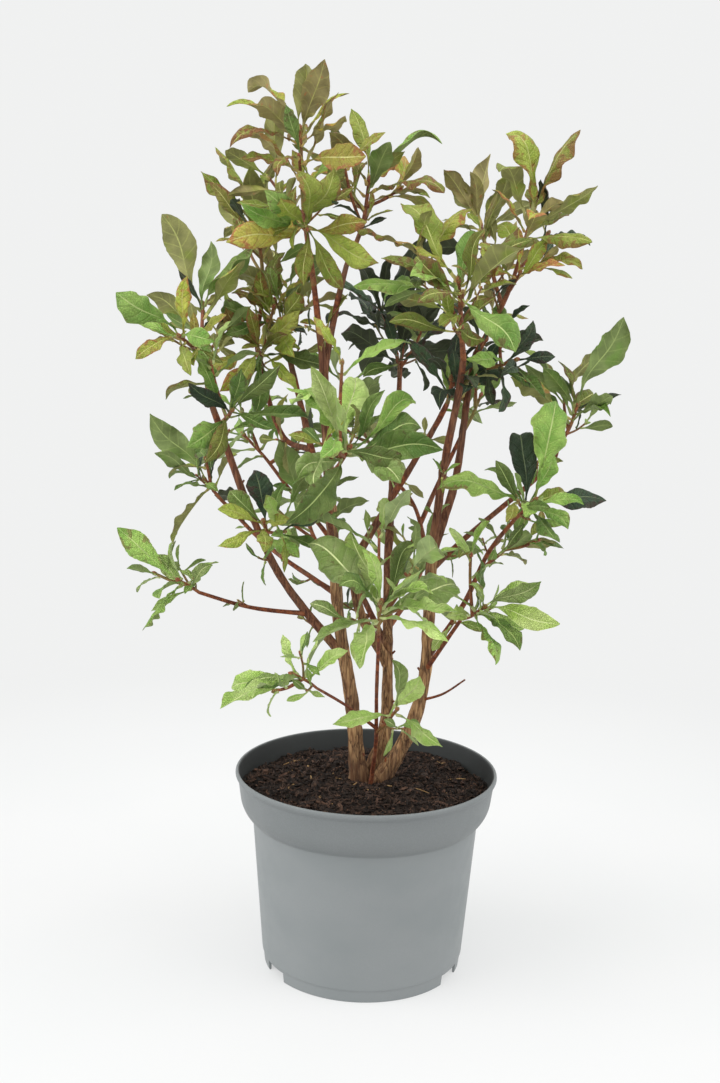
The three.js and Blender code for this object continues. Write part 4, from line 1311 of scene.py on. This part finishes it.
def rounded(corners, radius, steps=4):
    """A profile with each of its inner corners rounded off."""
    points = [corners[0]]
    for before, corner, after in zip(corners, corners[1:], corners[2:]):
        reach_in = min(radius, math.dist(before, corner) * 0.45)
        reach_out = min(radius, math.dist(corner, after) * 0.45)
        start = [c + (b - c) * reach_in / math.dist(before, corner) for b, c in zip(before, corner)]
        end = [c + (a - c) * reach_out / math.dist(corner, after) for a, c in zip(after, corner)]
        points += arc(start, corner, end, steps)
    points.append(corners[-1])
    return points


def shoulder_profile(inward=0.0, up=0.0):
    """The round shoulder from the wall out to the collar, moved inward and up."""
    corners = [
        (POT.wall_top_radius, POT.wall_top),
        (POT.shoulder_radius, POT.shoulder),
        (POT.collar_bottom_radius, POT.collar_bottom),
    ]
    return [(radius - inward, height + up) for radius, height in arc(*corners, POT.shoulder_steps)]


def pot_profile():
    """From the middle of the underside, out and up the wall, over the lip and down inside."""
    wall = POT.wall
    collar, lip, top = POT.collar_top_radius, POT.lip_radius, POT.rim_top
    outer = [
        (1, 0), (POT.pad_radius, 0), (POT.pad_radius, POT.floor_bottom),
        (POT.foot_radius - wall, POT.floor_bottom), (POT.foot_radius - wall, 0),
        (POT.foot_radius, 0), (POT.foot_radius + 1, POT.foot_height),
        (POT.base_radius, POT.foot_height + 1.2),
        *shoulder_profile(),
    ]
    lip_outside = [
        (collar, POT.collar_top), (lip - 0.8, POT.lip_bottom), (lip, POT.lip_middle - 1),
        (lip, POT.lip_middle + 0.8), (lip - 0.6, top - 0.5), (POT.lip_top_radius, top),
        (POT.lip_inner_radius, top - 0.9),
    ]
    inner = [
        (collar - wall, POT.collar_top),
        *shoulder_profile(wall, 1)[::-1],
        (POT.base_radius - wall, POT.floor_bottom + wall),
        (1, POT.floor_bottom + wall),
    ]
    return rounded(outer + lip_outside + inner, ROUNDING)


def pot_turns():
    """Angles round the pot with a pair at each side of each notch, and the notches' middles."""
    half = POT.notch_width / 2 / POT.foot_radius
    turns = list(np.arange(POT.segments) / POT.segments * 2 * math.pi)
    first = math.radians(POT.notch_turn)
    middles = [first + number / POT.notches * 2 * math.pi for number in range(POT.notches)]
    for middle in middles:
        for away in (half, half + POT.notch_side):
            turns += [(middle + offset) % (2 * math.pi) for offset in (-away, away)]
    return np.array(sorted(set(turns))), middles, half


def build_pot(materials):
    """The pot as rings of its profile, its plastic outside and a darker copy inside as painted shade."""
    profile = np.array(pot_profile())
    turns, middles, half = pot_turns()
    rings = []
    for radius, height in profile:
        heights = np.full(len(turns), float(height))
        if height < POT.notch_height and radius > POT.notch_inside:
            for middle in middles:
                away = np.abs((turns - middle + math.pi) % (2 * math.pi) - math.pi)
                cut = away < half + POT.notch_side / 2
                heights = np.where(cut, POT.notch_height - POT.notch_slack, heights)
        rings.append(np.stack([radius * np.cos(turns), radius * np.sin(turns), heights], -1))
    quads = ring_quads(len(rings), len(turns))
    inside = int(np.argmax(profile[:, 1]))
    walls = (len(rings) - 1) * len(turns)
    row = np.minimum(np.arange(len(quads)) // len(turns), len(rings))
    kinds = np.where((row > inside + POT.lip_rings) & (np.arange(len(quads)) < walls), 1, 0)
    kinds[-(len(turns) // 2 - 1):] = 1  # the floor inside
    skin = Skin()
    skin.add(np.concatenate(rings), quads, kinds, 0)
    return skin.build("pot_looks", materials, crease=35)


def inside_collar():
    """The radius inside the pot at the height of the compost's edge."""
    share = (COMPOST.edge_height - POT.collar_bottom) / (POT.collar_top - POT.collar_bottom)
    outside = POT.collar_bottom_radius * (1 - share) + POT.collar_top_radius * share
    return outside - POT.wall


def compost_height(x, y):
    """How high the compost lies: a low rough heap."""
    heap = smoothstep(inside_collar(), COMPOST.crown_radius, np.hypot(x, y))
    base = COMPOST.edge_height + (COMPOST.crown_height - COMPOST.edge_height) * heap
    place = np.stack([x, y, 0 * x], -1)
    lumps = sum(high * rough(place / wide, seed) for high, wide, seed in LUMPS)
    fibres = sum(high * np.abs(rough(place * often, seed)) for high, often, seed in FIBRES)
    return base - COMPOST.sunk + lumps + fibres


def scatter(dice, edge):
    """A place on the compost, drawn evenly over its surface."""
    radius = edge * math.sqrt(dice.random())
    turn = dice.uniform(0, 2 * math.pi)
    x, y = radius * math.cos(turn), radius * math.sin(turn)
    return Vector((x, y, float(compost_height(np.array(x), np.array(y)))))


def build_compost(materials):
    """The rough heap with its lumps."""
    dice = random.Random(29)
    edge = inside_collar() + COMPOST.tuck
    columns = COMPOST.columns
    turns = np.arange(columns) / columns * 2 * math.pi
    skin = Skin()
    cos, sin = np.cos(turns), np.sin(turns)
    inward, up = COMPOST.clearance
    bottom = [*COMPOST.bottom, *shoulder_profile(POT.wall + inward, up)]
    rings = [np.stack([r * cos, r * sin, np.full(columns, z)], -1) for r, z in bottom]
    for radius in np.linspace(edge, 1, COMPOST.rings):
        x, y = radius * cos, radius * sin
        rings.append(np.stack([x, y, compost_height(x, y)], -1))
    skin.add(np.concatenate(rings), ring_quads(len(rings), columns), 0, 0)
    smallest, largest = COMPOST.lump_size
    for _ in range(COMPOST.lumps):
        spot = scatter(dice, edge - COMPOST.lump_margin)
        add_lump(skin, spot, smallest + (largest - smallest) * dice.random() ** 3, dice)
    return skin.build("compost_looks", materials, crease=40)


def build_slivers(materials):
    """Slivers, fibres and chips of bark, which lie about on the compost."""
    dice = random.Random(43)
    edge = inside_collar() - COMPOST.litter_margin
    skin = Skin()
    for count, (shortest, longest), power, thickness, odds in LITTER:
        for _ in range(count):
            length = shortest + (longest - shortest) * dice.random() ** power
            add_sliver(skin, scatter(dice, edge), length, dice.uniform(*thickness), odds, edge, dice)
    return skin.build("slivers_looks", materials, crease=40)


def spindle(size, ends, swell, start, span):
    """A radius that is greatest at the middle of its route."""
    return lambda t, _: size * (ends + swell * math.sin(math.pi * (start + span * t)))


def add_lump(skin, centre, size, dice):
    """A lump of peat: short and rough, half sunk."""
    lean = Vector((dice.uniform(*LUMP.lean), dice.uniform(*LUMP.lean), LUMP.rise)) * size
    route = Route([centre - Vector((0, 0, size)), centre, centre + lean])
    radius_at = spindle(size, *LUMP.profile)
    seed = dice.randrange(1000)
    kind = dice.choices((0, 1, 2), LUMP.odds)[0]
    add_tube(skin, route, radius_at, LUMP.sides, size * LUMP.step, LUMP.relief, seed, kind=kind)


def add_sliver(skin, foot, length, thickness, odds, edge, dice):
    """A splinter of bark: long, thin, a little bent, lying nearly flat. odds are its materials'."""
    centre = foot + Vector((0, 0, thickness * SLIVER.lift))
    turn = dice.uniform(0, math.pi)
    tilt = dice.uniform(*SLIVER.tilt) * min(1, SLIVER.level_from / length)
    along = Vector((math.cos(turn) * math.cos(tilt), math.sin(turn) * math.cos(tilt), math.sin(tilt)))
    sideways = Vector((-math.sin(turn), math.cos(turn), 0)) * dice.uniform(*SLIVER.bow) * length
    start, end = centre - along * length / 2, centre + along * length / 2
    kind = dice.choices((0, 1, 2, 3), odds)[0]
    if max(place.xy.length for place in (start, centre + sideways, end)) > edge - 1:
        return
    route = Route([start, centre + sideways, end])
    steps = SLIVER.short_steps if length < SLIVER.long else SLIVER.long_steps
    radius_at = spindle(thickness, *SLIVER.profile)
    add_tube(skin, route, radius_at, SLIVER.sides, length / steps, kind=kind)


# ---- Bark ----


def limb_radius(name):
    """The radius along a limb: it flares at the compost, or swells where it leaves its parent."""
    limb = LIMBS[name]

    def radius_at(t, height):
        radius = limb.foot + (limb.tip - limb.foot) * t
        if limb.parent is None:
            flare = math.exp((LIMB.crown_height - height) / LIMB.flare_height)
            return radius + LIMB.flare * limb.foot * min(flare, 1)
        return radius * (1 + BARK.swell * math.exp(-t * BARK.swell_fade))

    return radius_at


def sunk_route(name):
    """A limb's route, and for a stem a last point below the compost."""
    route = limb_route(name)
    if LIMBS[name].parent is None:
        foot = route.points[0]
        below = foot - (route.points[1] - foot).normalized() * LIMB.sunk
        below.z = min(below.z, foot.z - LIMB.sunk)
        route.points.insert(0, below)
    return route


def tapering(root, tip):
    """A radius that goes evenly from root to tip."""
    return lambda t, _: root + (tip - root) * t


def build_bark(material):
    """The stems and boughs, with the relief of their bark, and stubs of twigs that were cut."""
    dice = random.Random(7)
    skin = Skin()
    for number, (name, limb) in enumerate(LIMBS.items()):
        mesh = THICK_LIMB if limb.foot > THICK_RADIUS else THIN_LIMB
        add_tube(skin, sunk_route(name), limb_radius(name), *mesh, seed=31 * number)
    for name in STUB.limbs:
        route = limb_route(name)
        count = max(STUB.fewest, int(route.length() / STUB.spacing))
        for number in range(count):
            t = (number + dice.uniform(*STUB.place)) / count
            size = limb_radius(name)(t, route.point(t).z) + dice.uniform(*STUB.length)
            turn = dice.uniform(0, 2 * math.pi)
            stub = side_twig(route, t, turn, dice.uniform(*STUB.spread), size)
            root = dice.uniform(*STUB.radius)
            radius_at = tapering(root, root * (1 - STUB.taper))
            add_tube(skin, stub, radius_at, *STUB.mesh, seed=number)
    return skin.build("bark_looks", [material])


def build_twigs(name, twigs, material, mesh):
    """Twigs given as (route, radius at the root, radius at the tip)."""
    skin = Skin()
    for number, (route, root, tip) in enumerate(twigs):
        add_tube(skin, route, tapering(root, tip), *mesh, seed=number)
    return skin.build(name, [material])


# ---- Stage, light and camera ----

CAMERA = SimpleNamespace(place=(-0.0102, -1.125, 0.565), pitch=9.97, roll=1.43, lens=45.74)

# name: (the direction that it comes from, strength, how wide it looks in degrees)
LIGHTS = {
    "light_left": ((-1.0, -0.35, 0.8), 1.42, 50),
    "light_right": ((1.0, -0.3, 0.8), 0.84, 50),
    "light_top": ((0.0, -0.3, 1.0), 0.8, 70),
}
BACKDROP = (0.874, 0.88, 0.877, 1.0)
# The floor, in metres, with its own tones near the pot and the backdrop's glow further out.
FLOOR = SimpleNamespace(
    radius=9,
    tones=((147, 148, 148), (151, 151, 151)),
    fading=(0.25, 1.0),
    glow=(0.6, 1.0),
)


def make_stage():
    """A wide pale floor, matt round the pot, that fades into the backdrop further out."""
    paint = Paint("stage_floor", roughness=0.8, specular_ior_level=0.0, emission_color=BACKDROP)
    near = paint.mix(paint.fade(paint.noise(3, 2), 0.3, 0.7), *map(srgb, FLOOR.tones))
    distance = paint.reach()
    away = paint.fade(distance, *FLOOR.fading)
    glow = paint.fade(distance, *FLOOR.fading, *FLOOR.glow)
    paint.set(base_color=paint.mix(away, near, (0, 0, 0, 1)), emission_strength=glow)
    bpy.ops.mesh.primitive_circle_add(vertices=96, radius=FLOOR.radius, fill_type="NGON")
    floor = bpy.context.object
    floor.name = "stage_floor"
    floor.data.materials.append(paint.material)


def make_lights():
    """An even backdrop and three soft suns."""
    world = bpy.data.worlds.new("studio")
    world.use_nodes = True
    world.node_tree.nodes["Background"].inputs["Color"].default_value = BACKDROP
    bpy.context.scene.world = world
    for name, (direction, strength, width) in LIGHTS.items():
        lamp = bpy.data.lights.new(name, "SUN")
        lamp.energy = strength
        lamp.angle = math.radians(width)
        holder = bpy.data.objects.new(name, lamp)
        holder.rotation_mode = "QUATERNION"
        holder.rotation_quaternion = Vector(direction).to_track_quat("Z", "Y")
        bpy.context.scene.collection.objects.link(holder)


def make_camera():
    """Looks along +Y and down by the pitch, turned a little about its own axis."""
    pitch, roll = math.radians(CAMERA.pitch), math.radians(CAMERA.roll)
    forward = Vector((0, math.cos(pitch), -math.sin(pitch)))
    upward = Vector((0, math.sin(pitch), math.cos(pitch)))
    right = Vector((1, 0, 0))
    turned_right = right * math.cos(roll) + upward * math.sin(roll)
    turned_up = upward * math.cos(roll) - right * math.sin(roll)
    axes = Matrix((turned_right, turned_up, -forward)).transposed()
    data = bpy.data.cameras.new("camera")
    data.lens = CAMERA.lens
    data.sensor_width = 36
    data.clip_start, data.clip_end = 0.05, 50
    camera = bpy.data.objects.new("camera", data)
    camera.matrix_world = Matrix.Translation(CAMERA.place) @ axes.to_4x4()
    bpy.context.scene.collection.objects.link(camera)
    bpy.context.scene.camera = camera


# ---- Assembly ----


def build_foliage():
    """Every mass's leaves, sorted by tint, with its twigs and the buds at their tips."""
    dice = random.Random(101)
    skins = {tint: Skin() for tint in TINTS}
    twigs, fine_twigs = [], []
    buds = Skin()
    for mass in MASSES:
        mass_twigs, leaves, mass_fine, fine_leaves = grow(mass)
        twigs += mass_twigs
        fine_twigs += mass_fine
        add_leaves(skins, leaves, FINE_GRID, dice, mass.tint, mass.name)
        add_leaves(skins, fine_leaves, COARSE_GRID, dice, mass.tint, mass.name)
        for route, _, tip in mass_twigs:
            add_bud(buds, route, tip * BUD.on_twig, dice)
    spur_twigs, spur_leaves = grow_spurs()
    fine_twigs += spur_twigs
    for leaf in spur_leaves:
        tint = "olive" if leaf.root.z > SPUR.olive else "mid"
        add_leaves(skins, [leaf], COARSE_GRID, dice, tint)
    for route, _, tip in fine_twigs:
        add_bud(buds, route, tip * BUD.on_fine_twig, dice)
    return skins, twigs, fine_twigs, buds


def place(piece, slot, nodes=()):
    """Puts a piece on the part's one body and hides the nodes that it replaces. The slot is not used."""
    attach(piece, "root")
    if nodes:
        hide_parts(*nodes)


def main():
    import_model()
    bpy.context.scene.view_settings.view_transform = "Standard"
    make_stage()
    make_lights()
    make_camera()

    outside = plastic_material("pot_outside", *OUTSIDE_PLASTIC)
    # painted shade: the inside is the outside's plastic, darker
    inside = plastic_material("pot_inside", *SHADED_INSIDE_PLASTIC)
    place(build_pot([outside, inside]), "pot", ["pot"])
    soils = [compost_material(f"compost_{name}", *row) for name, row in COMPOST_COLOURS.items()]
    place(build_compost(soils), "compost", ["compost"])
    place(build_slivers(soils), "compost")
    place(build_bark(bark_material()), "bark", list(LIMBS))

    skins, twigs, fine_twigs, buds = build_foliage()
    young = twig_material("twig", *TWIG_WOOD)
    finest = twig_material("twig_fine", *FINE_TWIG_WOOD)
    place(build_twigs("twigs_looks", twigs, young, TWIG_MESH), "bark")
    place(build_twigs("fine_twigs_looks", fine_twigs, finest, FINE_TWIG_MESH), "bark")
    place(buds.build("buds_looks", [bud_material()]), "bark")
    for tint in TINTS:
        materials = [blade_material(tint, number) for number in range(len(SHADES))]
        materials += [rib_material(tint), underside_material(tint)]
        nodes = [mass.name for mass in MASSES if mass.tint == tint]
        place(skins[tint].build(f"leaves_{tint}", materials, crease=60), f"leaf_{tint}", nodes)

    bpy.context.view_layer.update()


main()
